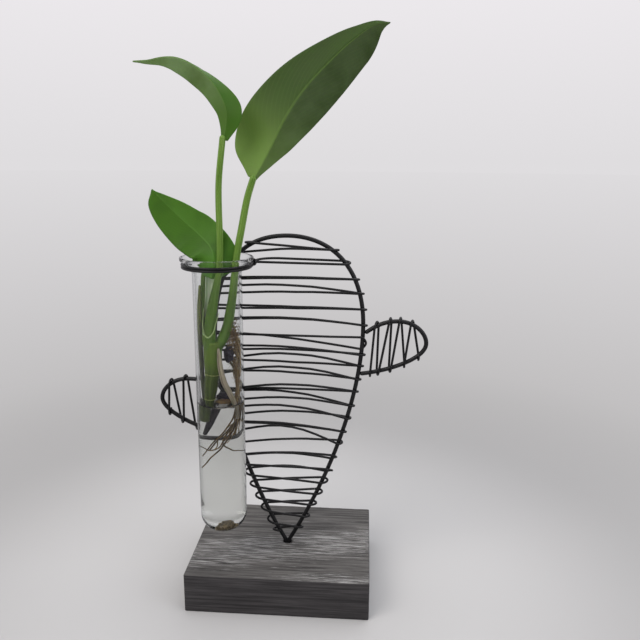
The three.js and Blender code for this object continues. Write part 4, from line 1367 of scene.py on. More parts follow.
@dataclass
class WireFrame:
    """The teardrop outline of thick wire, its two arms, and the thin wire wound over them."""

    leg_offset: float = 1.25
    foot_bend: float = 1.5
    foot_spread: float = 30.0
    leg_bend_depth: float = 5.0
    leg_depth: float = 13.7
    arm_seat: float = 1.75
    outline_height: float = 178.7
    top_x: float = 3.0
    left_belly: Belly = Belly(40.4, 0.663, 0.32, 0.22, 0.656, 0.69)
    right_belly: Belly = Belly(40.5, 0.73, 0.29, 0.34, 0.675, 0.56)
    right_arm: ArmShape = ArmShape(127.7, 104.2, 62.5, 133.9, 77.4, 121.9)
    left_arm: ArmShape = ArmShape(95.6, 65.0, -53.0, 98.3, -68.3, 86.5)
    # Front strand at the left side, middle and right side, then the back strand the same, as
    # heights above the block. The neck ring's hook takes the place of the second turn.
    strands: tuple[tuple[float, ...], ...] = (
        (174.9, 173.4, 171.8, 169.3, 171.5, 171.3),
        (156.2, 157.0, 156.5, 154.7, 155.7, 155.8),
        (151.4, 152.8, 149.1, 146.9, 148.5, 148.0),
        (141.4, 141.3, 140.4, 138.6, 139.5, 139.5),
        (133.5, 135.1, 131.7, 131.8, 133.7, 130.8),
        (125.4, 125.2, 125.1, 125.5, 122.8, 117.4),
        (118.5, 118.8, 115.2, 114.8, 116.3, 114.6),
        (109.9, 115.1, 109.1, 109.5, 109.2, 107.9),
        (102.6, 107.5, 101.3, 103.1, 103.3, 100.4),
        (93.0, 97.3, 94.4, 92.9, 93.6, 93.0),
        (86.6, 89.8, 86.0, 91.0, 91.9, 84.8),
        (82.6, 85.0, 78.3, 76.8, 80.4, 78.0),
        (74.6, 74.4, 70.6, 72.4, 72.2, 69.0),
        (68.7, 72.7, 63.0, 60.4, 63.5, 63.7),
        (54.9, 57.0, 56.1, 52.8, 54.8, 52.4),
        (48.5, 48.1, 47.5, 44.8, 46.8, 44.4),
        (41.9, 40.6, 38.7, 37.1, 39.1, 40.5),
        (34.7, 33.0, 31.7, 30.0, 31.6, 33.2),
        (27.2, 26.0, 24.8, 23.1, 24.4, 25.5),
        (19.8, 18.4, 17.1, 15.7, 16.5, 17.2),
        (11.8, 11.2, 10.3, 7.4, 8.1, 9.0),
    )
    loose_from: int = 15
    loose_slack: float = 1.5

    def side(self, sign: int, belly: Belly) -> list[Vector]:
        """Bends one side of the outline, from its foot up to the top.

        Args:
            sign: -1 for the left side and 1 for the right.
            belly: How that side swells.

        Returns:
            The points of the side.
        """
        spread = math.radians(self.foot_spread)
        foot_x = FOOT_X + sign * self.leg_offset
        belly_x = self.top_x + sign * belly.reach
        belly_height = belly.height * self.outline_height
        pull = belly.pull_foot * belly_height
        foot = in_plane(foot_x, self.foot_bend)
        widest = in_plane(belly_x, belly_height)
        leave = in_plane(foot_x + sign * pull * math.sin(spread), self.foot_bend + pull * math.cos(spread))
        lower = bezier([foot, leave, in_plane(belly_x, belly_height * (1 - belly.pull_down)), widest], 70)
        upper = bezier([
            widest,
            in_plane(belly_x, lerp(belly_height, self.outline_height, belly.pull_up)),
            in_plane(self.top_x + sign * belly.reach * belly.pull_top, self.outline_height),
            in_plane(self.top_x, self.outline_height),
        ], 50)
        return lower + upper[1:]

    def leg(self, sign: int) -> Vector:
        """Gives the lower end of a leg, deep in the foot hole."""
        return in_plane(FOOT_X + sign * self.leg_offset, -self.leg_depth)

    def arm(self, sign: int, side: list[Vector], arm: ArmShape) -> tuple[list[Vector], list[Vector]]:
        """Bends an arm's loop.

        Args:
            sign: -1 for the left arm and 1 for the right.
            side: The side of the outline that carries it.
            arm: The arm's sizes.

        Returns:
            Its upper run from the outline to the tip, and its lower run from the tip back.
        """
        rail = Rail(side, Axis.HEIGHT, sign)
        seat = sign * FRAME_WIRE_RADIUS * self.arm_seat
        upper_x = rail.at(BLOCK_TOP + arm.upper_height)[0].x + seat
        lower_x = rail.at(BLOCK_TOP + arm.lower_height)[0].x + seat
        reach = arm.tip_x - arm.top_x
        rise = arm.top - arm.tip
        top = in_plane(arm.top_x, arm.top)
        tip = in_plane(arm.tip_x, arm.tip)
        over = bezier([
            in_plane(upper_x, arm.upper_height),
            in_plane(lerp(upper_x, arm.top_x, 0.3), lerp(arm.upper_height, arm.top, 0.6)),
            in_plane(arm.top_x - reach * 0.5, arm.top),
            top,
        ], 20)
        shoulder = bezier([
            top,
            in_plane(arm.top_x + reach * 0.55, arm.top),
            in_plane(arm.tip_x, arm.tip + rise * 0.5),
            tip,
        ], 20)
        under = bezier([
            tip,
            in_plane(arm.tip_x, arm.tip - abs(reach) * 0.55),
            in_plane(lerp(arm.tip_x, lower_x, 0.55), lerp(arm.lower_height, arm.tip, 0.12)),
            in_plane(lower_x, arm.lower_height),
        ], 30)
        return over + shoulder[1:], under

    def body_turns(self) -> list[Turn]:
        """Turns the strand heights to the turns of the main winding.

        Returns:
            The turns, from the top down.
        """
        turns = []
        for number, (left, middle, right, left_back, middle_back, right_back) in enumerate(self.strands):
            slack = self.loose_slack if number >= self.loose_from else 0.0
            turns.append(Turn(
                BLOCK_TOP + left, BLOCK_TOP + right, BLOCK_TOP + right_back, BLOCK_TOP + left_back,
                middle - (left + right) / 2, middle_back - (left_back + right_back) / 2,
                slack, slack * 0.6,
            ))
        return turns

    def build(self) -> None:
        """Bends the thick wires and winds the thin ones over them."""
        left = self.side(-1, self.left_belly)
        right = self.side(1, self.right_belly)
        outline = [self.leg(-1), in_plane(left[0].x, -self.leg_bend_depth), *left, *reversed(right[:-1])]
        outline += [in_plane(right[0].x, -self.leg_bend_depth), self.leg(1)]
        THICK_STOCK.bend("body_outline", "body_outline_wire", outline)
        winding = Winding(Rail(left, Axis.HEIGHT, -1), Rail(right, Axis.HEIGHT, 1), self.body_turns())
        THIN_STOCK.bend("body_lacing", "body_winding_wire", winding.route())
        # Where each strand of a lacing stands on the lower and the upper run
        self.lace_arm(1, right, self.right_arm, [
            Turn(47.8, 49.6, 51.8, 51.4),
            Turn(52.4, 57.2, 58.6, 58.0),
            Turn(58.9, 62.6, 63.9, 66.2),
            Turn(66.0, 68.7, 70.6, 73.6),
        ])
        self.lace_arm(-1, left, self.left_arm, [
            Turn(-64.2, -63.5, -62.2, -58.9),
            Turn(-56.0, -55.3, -54.0, -50.7),
            Turn(-47.8, -47.1, -45.8, -42.5),
        ])

    def lace_arm(self, sign: int, side: list[Vector], shape: ArmShape, turns: list[Turn]) -> None:
        """Bends an arm and laces its two runs together.

        Args:
            sign: -1 for the left arm and 1 for the right.
            side: The side of the outline that carries it.
            shape: The arm's sizes.
            turns: The lacing's turns, by their places along the lower and the upper run.
        """
        hand = "right" if sign > 0 else "left"
        over, under = self.arm(sign, side, shape)
        THICK_STOCK.bend(f"{hand}_arm", f"{hand}_arm_wire", over + under[1:])
        lacing = Winding(Rail(under, Axis.WIDTH, -1), Rail(over, Axis.WIDTH, 1), turns)
        THIN_STOCK.bend(f"{hand}_arm_lacing", f"{hand}_arm_winding", lacing.route())


@dataclass
class NeckRing:
    """One thin wire that hooks round the outline and circles the tube's neck with both tails."""

    radius: float = 17.2
    lower_z: float = 187.65
    upper_z: float = 188.95
    pitch: float = 1.3
    bend_x: float = -8.0

    def curl(
        self, place: Callable[[float, float, float], Vector], start: float, end: float, steps: int,
    ) -> list[Vector]:
        """Curls a free end round another strand.

        Args:
            place: Turns a share of the way along that strand and the offsets outwards and upwards
                from it into a point.
            start: The angle of the curl's start, in degrees.
            end: The angle of its end.
            steps: How many steps it takes.

        Returns:
            The curl's points.
        """
        angles = [math.radians(lerp(start, end, i / steps)) for i in range(steps + 1)]
        return [
            place(i / steps, self.pitch * math.cos(a), self.pitch * math.sin(a))
            for i, a in enumerate(angles)
        ]

    def build(self, right: Rail) -> None:
        """Bends the ring.

        Args:
            right: The right side of the outline, which takes the hook.
        """
        right_x = TUBE_X + self.radius
        front_y = FRAME_PLANE_Y - WRAP_RADIUS
        back_y = FRAME_PLANE_Y + WRAP_RADIUS
        curl_y = TUBE_Y + self.radius * 0.4
        curl_length = 2 * self.pitch
        right_curl = self.curl(
            lambda share, out, up: Vector(
                (right_x + out, curl_y + curl_length * (1 - share), self.upper_z + up),
            ),
            300, -90, 24,
        )
        lower_turn = [around_tube(self.radius, lerp(0, -270, i / 54), self.lower_z) for i in range(55)]
        hook = right.wrap(HOOK_Z, HOOK_Z + 2 * WINDING_WIRE_RADIUS, True)
        near_ring = Vector((
            lerp(TUBE_X, self.bend_x, 0.36), lerp(lower_turn[-1].y, front_y, 0.5),
            lerp(self.lower_z, HOOK_Z, 0.15),
        ))
        front_tail = smooth_route([
            lower_turn[-1],
            near_ring,
            Vector((self.bend_x, front_y, lerp(self.lower_z, HOOK_Z, 0.4))),
            Vector((lerp(self.bend_x, hook[0].x, 0.5), front_y, lerp(self.lower_z, HOOK_Z, 0.7))),
            hook[0],
        ], 24)[1:-1]
        bend = bezier([
            Vector((self.bend_x + 6, back_y, self.upper_z)),
            Vector((self.bend_x - 2, back_y, self.upper_z)),
            Vector((right_x, lerp(curl_y + curl_length, back_y, 0.6), self.upper_z)),
            Vector((right_x, curl_y + curl_length, self.upper_z)),
        ], 14)
        back_middle = Vector((
            lerp(self.bend_x, hook[-1].x, 0.5), back_y, lerp(self.upper_z, hook[-1].z, 0.4),
        ))
        back_tail = smooth_route([hook[-1], back_middle, bend[0]], 12)[1:-1] + bend
        joint = Vector((right_x, lerp(TUBE_Y, curl_y, 0.6), self.upper_z))
        upper_turn = [around_tube(self.radius, lerp(0, -180, i / 36), self.upper_z) for i in range(37)]
        left_curl = self.curl(
            lambda share, out, up: around_tube(
                self.radius + out, lerp(-184, -197, share), self.lower_z + up,
            ),
            90, -150, 16,
        )
        route = [*right_curl, *lower_turn, *front_tail, *hook, *back_tail, joint, *upper_turn, *left_curl]
        RING_STOCK.bend("neck_ring", "tube_ring", route)


@dataclass
class GlassTube:
    """The test tube with its flared lip, the water in it and the litter on its bottom."""

    roll: float = TUBE_WALL / 2
    water_overlap: float = 0.12
    outer_bend: float = 3.0
    inner_bend: float = 4.0
    bend_end: float = 137.0
    meniscus: float = 1.5
    # How the water creeps up the wall: the distance from the wall and the share of the rise
    creep: tuple[tuple[float, float], ...] = (
        (0.0, 1.0), (0.3, 0.72), (0.75, 0.42), (1.4, 0.18), (2.3, 0.05), (3.4, 0.0),
    )
    crumb_count: int = 34
    heap_reach: tuple[float, float] = (3.9, 2.4)

    def build(self) -> None:
        """Draws the tube, fills it and drops the litter."""
        self.glass()
        self.water()
        self.litter()

    def glass(self) -> None:
        """Spins the glass."""
        rounding_z = ROUNDING_MIDDLE[1]
        slope = TUBE_WALL / math.sqrt(2)
        outer_end = CONE_START_Z - 1.0
        inner_end = CONE_START_Z + TUBE_WALL * (math.sqrt(2) - 1) - 1.4
        outer_middle = (TUBE_RADIUS + self.outer_bend, outer_end)
        inner_middle = (TUBE_BORE_RADIUS + self.inner_bend, inner_end)
        profile = [(0.0, TUBE_BOTTOM_Z)]
        profile += arc(ROUNDING_MIDDLE, TUBE_BOTTOM_RADIUS, -90, 0, 18)
        profile += self.wall(TUBE_RADIUS, rounding_z, outer_end)
        profile += arc(outer_middle, self.outer_bend, 180, self.bend_end, 6)
        profile += [(LIP_RADIUS, CONE_END_Z)]
        profile += arc((LIP_RADIUS - self.roll, RIM_Z - self.roll), self.roll, 0, 180, 8)
        profile += [(LIP_RADIUS - TUBE_WALL, CONE_END_Z + slope * 0.6)]
        profile += arc(inner_middle, self.inner_bend, self.bend_end, 180, 6)
        profile += self.wall(TUBE_BORE_RADIUS, inner_end, rounding_z)
        profile += arc(ROUNDING_MIDDLE, TUBE_BOTTOM_RADIUS - TUBE_WALL, 0, -90, 16)
        profile += [(0.0, TUBE_BOTTOM_Z + TUBE_WALL)]
        shape = new_mesh()
        add_turned(shape, profile)
        Piece("test_tube", shape, GLASS, Body.TUBE, "clear_glass", ("glass_tube",)).place()

    def wall(self, radius: float, start: float, end: float) -> list[tuple[float, float]]:
        """Gives the inner corners of a straight wall, close at its ends to keep its shading straight.

        Args:
            radius: The wall's radius.
            start: The height of its start.
            end: The height of its end.

        Returns:
            Radius and height of each corner between the two ends.
        """
        return [(radius, lerp(start, end, share)) for share in (0.01, 0.05, 0.25, 0.5, 0.75, 0.95, 0.99)]

    def water(self) -> None:
        """Spins the water, a little into the glass so that no air shows between them."""
        rounding_z = ROUNDING_MIDDLE[1]
        inside = TUBE_BOTTOM_RADIUS - TUBE_WALL + self.water_overlap
        wall = TUBE_BORE_RADIUS + self.water_overlap
        profile = [(0.0, rounding_z - inside)]
        profile += arc(ROUNDING_MIDDLE, inside, -90, 0, 16)
        profile += self.wall(wall, rounding_z, WATER_LEVEL_Z + self.meniscus)
        profile += [(wall - inwards, WATER_LEVEL_Z + self.meniscus * rise) for inwards, rise in self.creep]
        profile += [(0.0, WATER_LEVEL_Z)]
        shape = new_mesh()
        add_turned(shape, profile)
        Piece("standing_water", shape, WATER, Body.TUBE, "water", ("water",), crease=30).place()

    def litter(self) -> None:
        """Heaps the crumbs of shed root skin round one large first crumb."""
        pick = random.Random(11)
        shape = new_mesh()
        floor = TUBE_BOTTOM_Z + TUBE_WALL + 0.3
        middle = Vector((TUBE_X + 1.0, TUBE_Y + 0.2, floor + 1.5))
        for crumb in range(self.crumb_count):
            turn = pick.uniform(0, 2 * math.pi)
            spread = math.sqrt(pick.random())
            out = spread if crumb else 0.0
            size = pick.uniform(0.6, 1.3) if crumb else 2.7
            ball = bmesh.ops.create_icosphere(shape, subdivisions=2, radius=size)["verts"]
            for vert in ball:
                vert.co *= 1 + 0.5 * noise.noise(vert.co * 1.3 + Vector((crumb * 3.1, 0, 0)))
            bmesh.ops.scale(shape, vec=(1.25, 0.95, 0.5), verts=ball)
            bmesh.ops.rotate(shape, matrix=Matrix.Rotation(turn * 1.7, 3, "Z"), verts=ball)
            across, back = (reach * out for reach in self.heap_reach)
            rise = 0.9 * pick.random() - 0.4
            place = middle + Vector((across * math.cos(turn), back * math.sin(turn), rise))
            bmesh.ops.translate(shape, vec=place, verts=ball)
        Piece("root_crumbs", shape, LITTER, Body.TUBE, "brown_root", ("root_litter",)).place()


@dataclass
class Leaf:
    """A leaf blade over a bent rib. Both halves fold along it, each by its own angle."""

    name: str
    node: str
    finish: Finish
    rib: tuple[tuple[float, float, float], ...]
    facing: tuple[float, float, float]
    left_shown: tuple[float, ...]
    right_shown: tuple[float, ...]
    left_fold: tuple[float, ...]
    right_fold: tuple[float, ...]
    cup: float = 0.0
    ripple: float = 0.5
    thickness: float = 0.55
    steps_along: int = 44
    steps_across: int = 20
    least_half: float = 0.12
    rounding: float = 0.045
    tip_share: float = 0.06

    def build(self) -> None:
        """Grows the blade from a grid."""
        shape = new_mesh()
        uv = shape.loops.layers.uv.new("blade")
        bmesh.ops.create_grid(shape, x_segments=self.steps_across, y_segments=self.steps_along, size=1.0)
        places = {vert: (vert.co.x, (vert.co.y + 1) / 2) for vert in shape.verts}
        for face in shape.faces:
            for loop in face.loops:
                across, along = places[loop.vert]
                loop[uv].uv = ((across + 1) / 2, along)
        route = smooth_route([Vector(p) for p in self.rib], self.steps_along)
        facing = Vector(self.facing).normalized()
        last = self.steps_along
        for vert, (across, along) in places.items():
            number = round(along * last)
            ahead = (route[min(number + 1, last)] - route[max(number - 1, 0)]).normalized()
            sideways = ahead.cross(facing).normalized()
            lift = sideways.cross(ahead).normalized()
            vert.co = route[number] + self.offset(across, along, sideways, lift)
        bmesh.ops.recalc_face_normals(shape, faces=shape.faces)
        leaf = Piece(
            self.name, shape, self.finish, Body.PLANT, "leaf", (self.node,), recalculate=False,
        ).place()
        skin = leaf.modifiers.new("blade_thickness", "SOLIDIFY")
        skin.thickness = self.thickness * MM
        skin.offset = 0.0
        soften(leaf, "soft_blade")

    def offset(self, across: float, along: float, sideways: Vector, lift: Vector) -> Vector:
        """Gives a blade point's offset from the rib.

        Args:
            across: Its place from -1 at the left margin to 1 at the right.
            along: Its place from 0 at the base to 1 at the tip.
            sideways: The direction to the right of the rib.
            lift: The direction out of the blade's face.

        Returns:
            The offset in millimetres.
        """
        shown, fold = (self.right_shown, self.right_fold) if across > 0 else (self.left_shown, self.left_fold)
        angle = math.radians(table(fold, along))
        out = abs(across)
        half = max(self.smooth_table(shown, along), self.least_half) / math.cos(angle)
        reach = half * out
        sign = 1 if across > 0 else -1
        rise = reach * math.sin(angle) + self.cup * half * (out * out - out * 0.6)
        wave = self.ripple * out * out * noise.noise(Vector((along * 5, sign * 3.7, 1.3)))
        return sideways * (sign * reach * math.cos(angle)) + lift * (rise + wave)

    def smooth_table(self, values: Sequence[float], share: float) -> float:
        """Reads a table of half widths with its corners rounded off.

        Args:
            values: The table, from the base to the tip.
            share: Where to read.

        Returns:
            The half width there.
        """
        near = [table(values, share + step) for step in (-self.rounding, 0.0, self.rounding)]
        blended = (near[0] + 2 * near[1] + near[2]) / 4
        to_tip = min(1.0, (1 - share) / self.tip_share)
        return blended * to_tip ** 0.5


@dataclass(frozen=True)
class Shoot:
    """A stalk or strand of the cutting, through stops measured from the middle of the tube's mouth."""

    name: str
    finish: StalkSkin
    slot: str
    stops: tuple[tuple[float, float, float], ...]
    radii: tuple[float, ...]
    steps: int
    sides: int
    nodes: tuple[str, ...] = ()
    flatness: float = 1.0

    def build(self) -> None:
        """Grows the shoot."""
        shape = new_mesh()
        route = smooth_route([in_tube(*stop) for stop in self.stops], self.steps)
        add_rod(shape, route, lambda share: table(self.radii, share), self.sides, flatness=self.flatness)
        Piece(self.name, shape, self.finish, Body.PLANT, self.slot, self.nodes).place()


@dataclass
class Cutting:
    """The stem, its leaf stalks and sheath, and the three leaves."""

    stem_top_depth: float = 44.0
    stem_cut_depth: float = 87.2
    stem_steps: int = 48
    stem_sides: int = 28
    stem_radii: tuple[float, ...] = (4.6, 4.75, 4.7, 4.3, 3.6, 3.85, 3.85, 3.5, 2.6, 2.15, 1.9)
    node_shares: tuple[float, ...] = (0.385, 0.78)
    node_reach: float = 0.022
    node_swell: float = 0.06
    sheath_steps: int = 30
    sheath_radius: float = 2.6
    sheath_wall: float = 0.8

    def stem_route(self) -> list[Vector]:
        """Runs the main stem.

        Returns:
            Its middle line, from its top to its cut end.
        """
        top, cut = self.stem_top_depth, self.stem_cut_depth
        return smooth_route([
            in_tube(-3.5, 0, top),
            in_tube(-3.6, 0.1, lerp(top, cut, 0.25)),
            in_tube(-4.2, 0.2, lerp(top, cut, 0.42)),
            in_tube(-5.2, 0.3, lerp(top, cut, 0.56)),
            in_tube(-6.0, 0.4, lerp(top, cut, 0.75)),
            in_tube(-6.4, 0.5, cut),
        ], self.stem_steps)

    def stem_radius(self, share: float) -> float:
        """Gives the stem's radius, a little thicker at its nodes."""
        swell = sum(math.exp(-((share - node) / self.node_reach) ** 2) for node in self.node_shares)
        return table(self.stem_radii, share) * (1 + self.node_swell * swell)

    def build(self) -> None:
        """Grows the cutting."""
        self.stem()
        self.stalks()
        self.sheath()
        for leaf in self.leaves():
            leaf.build()

    def stem(self) -> None:
        """Grows the main stem with the pale rings of its nodes and the old strand beside it."""
        route = self.stem_route()
        shape = new_mesh()
        add_rod(shape, route, self.stem_radius, self.stem_sides, RodEnd.SQUARE)
        Piece("main_stem_skin", shape, STEM_SKIN, Body.PLANT, "stem", ("main_stem",)).place()
        rings = new_mesh()
        for share in self.node_shares:
            start = round(share * self.stem_steps)
            ring = [route[start], route[start].lerp(route[start + 1], 0.6)]
            add_rod(
                rings, ring, lambda _, at=share: self.stem_radius(at) + 0.1, self.stem_sides, RodEnd.SQUARE,
            )
        Piece("stem_node_rings", rings, NODE_RING, Body.PLANT, "stem").place()
        Shoot(
            "old_leaf_strand", OLD_STRAND, "stem",
            (
                (-8.8, -1.6, 15), (-9.3, -1.6, 24), (-9.7, -1.4, 34), (-9.7, -0.9, 46), (-9.6, -0.4, 57),
                (-9.5, 0.1, 67), (-9.3, 0.6, 77),
            ),
            (0.6, 1.2, 1.45, 1.45, 1.4, 1.3, 0.8),
            40, 14, flatness=0.9,
        ).build()

    def stalks(self) -> None:
        """Grows the stalks of the big leaf and the left leaf."""
        base = self.stem_top_depth + 3
        Shoot(
            "big_leaf_stalk", STALK_SKIN, "petiole",
            (
                (-1.8, 0.2, base + 1), (1.6, 0.2, 43), (4.2, 0.3, 37), (6.3, 0.4, 27), (7.9, 0.5, 17),
                (9.0, 0.6, 7), (10.3, 0.9, -2), (12.7, 1.3, -14), (15.8, 1.9, -29), (18.6, 2.5, -38),
            ),
            (2.9, 2.85, 2.75, 2.5, 2.15, 1.9, 1.85, 1.8, 1.75, 1.7, 1.65),
            80, 24, ("big_leaf_petiole",),
        ).build()
        Shoot(
            "left_leaf_stalk", STALK_SKIN, "petiole",
            (
                (-4.4, -1.6, base), (-4.3, -1.7, 38), (-3.3, -2.0, 31), (-1.7, -2.2, 22), (0.6, -2.4, 12),
                (1.9, -2.6, 5), (2.5, -2.8, -6), (2.7, -2.9, -35), (5.2, -2.8, -57),
            ),
            (3.0, 3.0, 2.95, 2.8, 2.2, 1.75, 1.7, 1.65, 1.6, 1.55, 1.5),
            80, 24, ("left_leaf_petiole",),
        ).build()

    def sheath(self) -> None:
        """Grows the leaf sheath: a channel that opens to the front, pale inside, narrower at its foot."""
        stops = ((-5.1, 0.6, 43), (-5.7, 2.0, 36), (-4.5, 2.8, 23), (-3.7, 3.2, 12), (-3.2, 4.0, 3))
        steps = self.sheath_steps
        route = smooth_route([in_tube(*stop) for stop in stops], steps)
        shape = new_mesh()
        flow = shape.verts.layers.float_vector["flow"]
        bmesh.ops.create_grid(shape, x_segments=20, y_segments=steps, size=1.0)
        places = {vert: (vert.co.x, (vert.co.y + 1) / 2) for vert in shape.verts}
        frames = frames_along(route, Vector((1, 0, 0)))
        for vert, (across, along) in places.items():
            turn = across * math.radians(lerp(112, 84, along))
            radius = self.sheath_radius * min(1.0, 0.35 + along * 7) ** 0.5
            sideways = radius * math.sin(turn)
            inwards = radius * (1 - math.cos(turn)) * 0.8
            vert.co = frames[round(along * steps)] @ Vector((sideways, -inwards, 0))
            vert[flow] = (math.cos(turn), math.sin(turn), along * 3)
        bmesh.ops.recalc_face_normals(shape, faces=shape.faces)
        channel = Piece(
            "leaf_sheath_channel", shape, SHEATH_SKIN, Body.PLANT, "petiole", ("leaf_sheath",),
            recalculate=False,
        ).place()
        self.line(channel, frames[20].translation * MM)
        self.sheath_edges()

    def line(self, channel: Object, heart: Vector) -> None:
        """Gives the channel its wall, with the pale lining on the side that opens to the front.

        Args:
            channel: The channel's object.
            heart: A point in its middle, in metres.
        """
        channel.data.materials.append(SHEATH_LINING.material())
        nearest = min(channel.data.polygons, key=lambda face: (face.center - heart).length)
        faces_front = nearest.normal.y < 0
        wall = channel.modifiers.new("sheath_wall", "SOLIDIFY")
        wall.thickness = self.sheath_wall * MM
        wall.offset = 0.0
        wall.material_offset = -1 if faces_front else 1
        for face in channel.data.polygons:
            face.material_index = 1 if faces_front else 0
        soften(channel, "soft_sheath")

    def sheath_edges(self) -> None:
        """Grows the sheath's thick left fold, and the pale line where it closes over the stem."""
        Shoot(
            "leaf_sheath_fold", SHEATH_SKIN, "petiole",
            (
                (-6.4, -0.6, 47), (-8.4, 0.4, 40), (-8.9, 0.9, 34), (-8.2, 1.3, 22), (-7.6, 1.8, 11),
                (-7.2, 2.9, 2),
            ),
            (2.0, 1.9, 1.75, 1.7, 1.5, 0.9),
            40, 20, flatness=0.85,
        ).build()
        Shoot(
            "leaf_sheath_line", SHEATH_EDGE, "petiole",
            (
                (-6.7, -2.6, 26), (-7.3, -2.8, 32), (-7.4, -3.3, 36.5), (-6.4, -4.2, 39.6),
                (-4.6, -4.9, 40.8), (-2.8, -4.9, 39.6), (-1.3, -4.9, 37), (-0.2, -4.7, 33), (1.4, -4.4, 28),
            ),
            (0.15, 0.26, 0.34, 0.42, 0.34, 0.28, 0.15),
            40, 10,
        ).build()

    def leaves(self) -> list[Leaf]:
        """Measures out the three leaves.

        Returns:
            The big, the left and the low leaf.
        """
        return [
            Leaf(
                "big_leaf_blade", "big_leaf", BIG_BLADE,
                (
                    (-11.5, -19.0, 230.2), (-7.5, -17.8, 237.5), (-2.4, -16.2, 247.5), (3.6, -14.8, 259.4),
                    (12.0, -13.7, 272.0), (23.5, -14.0, 284.0), (36.0, -16.0, 294.6), (46.0, -18.6, 300.4),
                    (52.7, -21.0, 300.8),
                ),
                (-0.15, -1.0, 0.2),
                (2.0, 15.5, 20.5, 22.9, 21.5, 18.1, 14.0, 9.1, 4.2, 1.4, 0.1),
                (0.8, 2.4, 5.2, 8.6, 10.9, 12.0, 11.7, 10.2, 8.2, 3.6, 0.1),
                (-8.0, -12.0, -12.0, -14.0, -20.0),
                (-35.0, -46.0, -50.0, -48.0, -30.0),
                cup=0.12,
            ),
            Leaf(
                "left_leaf_blade", "left_leaf", LEFT_BLADE,
                (
                    (-24.9, -24.3, 248.6), (-23.5, -24.4, 255.6), (-23.3, -24.8, 262.4),
                    (-25.4, -25.4, 268.6), (-29.4, -26.0, 275.0), (-34.4, -26.8, 279.8),
                    (-40.2, -27.6, 283.6), (-46.0, -28.4, 285.4), (-51.8, -29.0, 285.2),
                    (-58.0, -29.6, 283.8), (-65.0, -30.0, 283.3),
                ),
                (-0.1, -1.0, 0.35),
                (1.0, 3.3, 5.7, 6.5, 7.1, 7.0, 6.5, 5.4, 3.4, 1.6, 0.1),
                (1.6, 5.6, 7.2, 5.4, 2.6, 1.9, 2.0, 1.9, 1.5, 0.9, 0.1),
                (-10.0, -25.0, -35.0, -35.0, -20.0),
                (-15.0, -40.0, -76.0, -77.0, -60.0),
                cup=0.1,
                ripple=0.7,
            ),
            Leaf(
                "low_leaf_blade", "low_leaf", LOW_BLADE,
                (
                    (-32.6, -25.0, 181.7), (-31.8, -25.5, 186.3), (-31.3, -25.0, 190.5),
                    (-31.8, -23.5, 194.3), (-33.6, -21.5, 197.5), (-37.0, -19.5, 200.7),
                    (-41.1, -18.0, 204.2), (-45.6, -17.0, 207.8), (-53.8, -15.5, 215.1),
                    (-61.2, -14.7, 221.9), (-64.1, -14.4, 224.9),
                ),
                (0.1, -1.0, 0.15),
                (3.6, 7.4, 11.4, 11.2, 10.6, 11.2, 11.9, 12.6, 12.6, 11.9, 10.2, 6.0, 0.1),
                (3.8, 7.0, 11.0, 12.6, 11.2, 10.6, 10.5, 10.4, 9.6, 8.0, 4.6, 0.9, 0.1),
                (-38.0, -24.0, 4.0, 8.0, 6.0, 4.0),
                (-38.0, -22.0, 6.0, 8.0, 8.0, 6.0),
                cup=0.08,
                ripple=0.8,
            ),
        ]


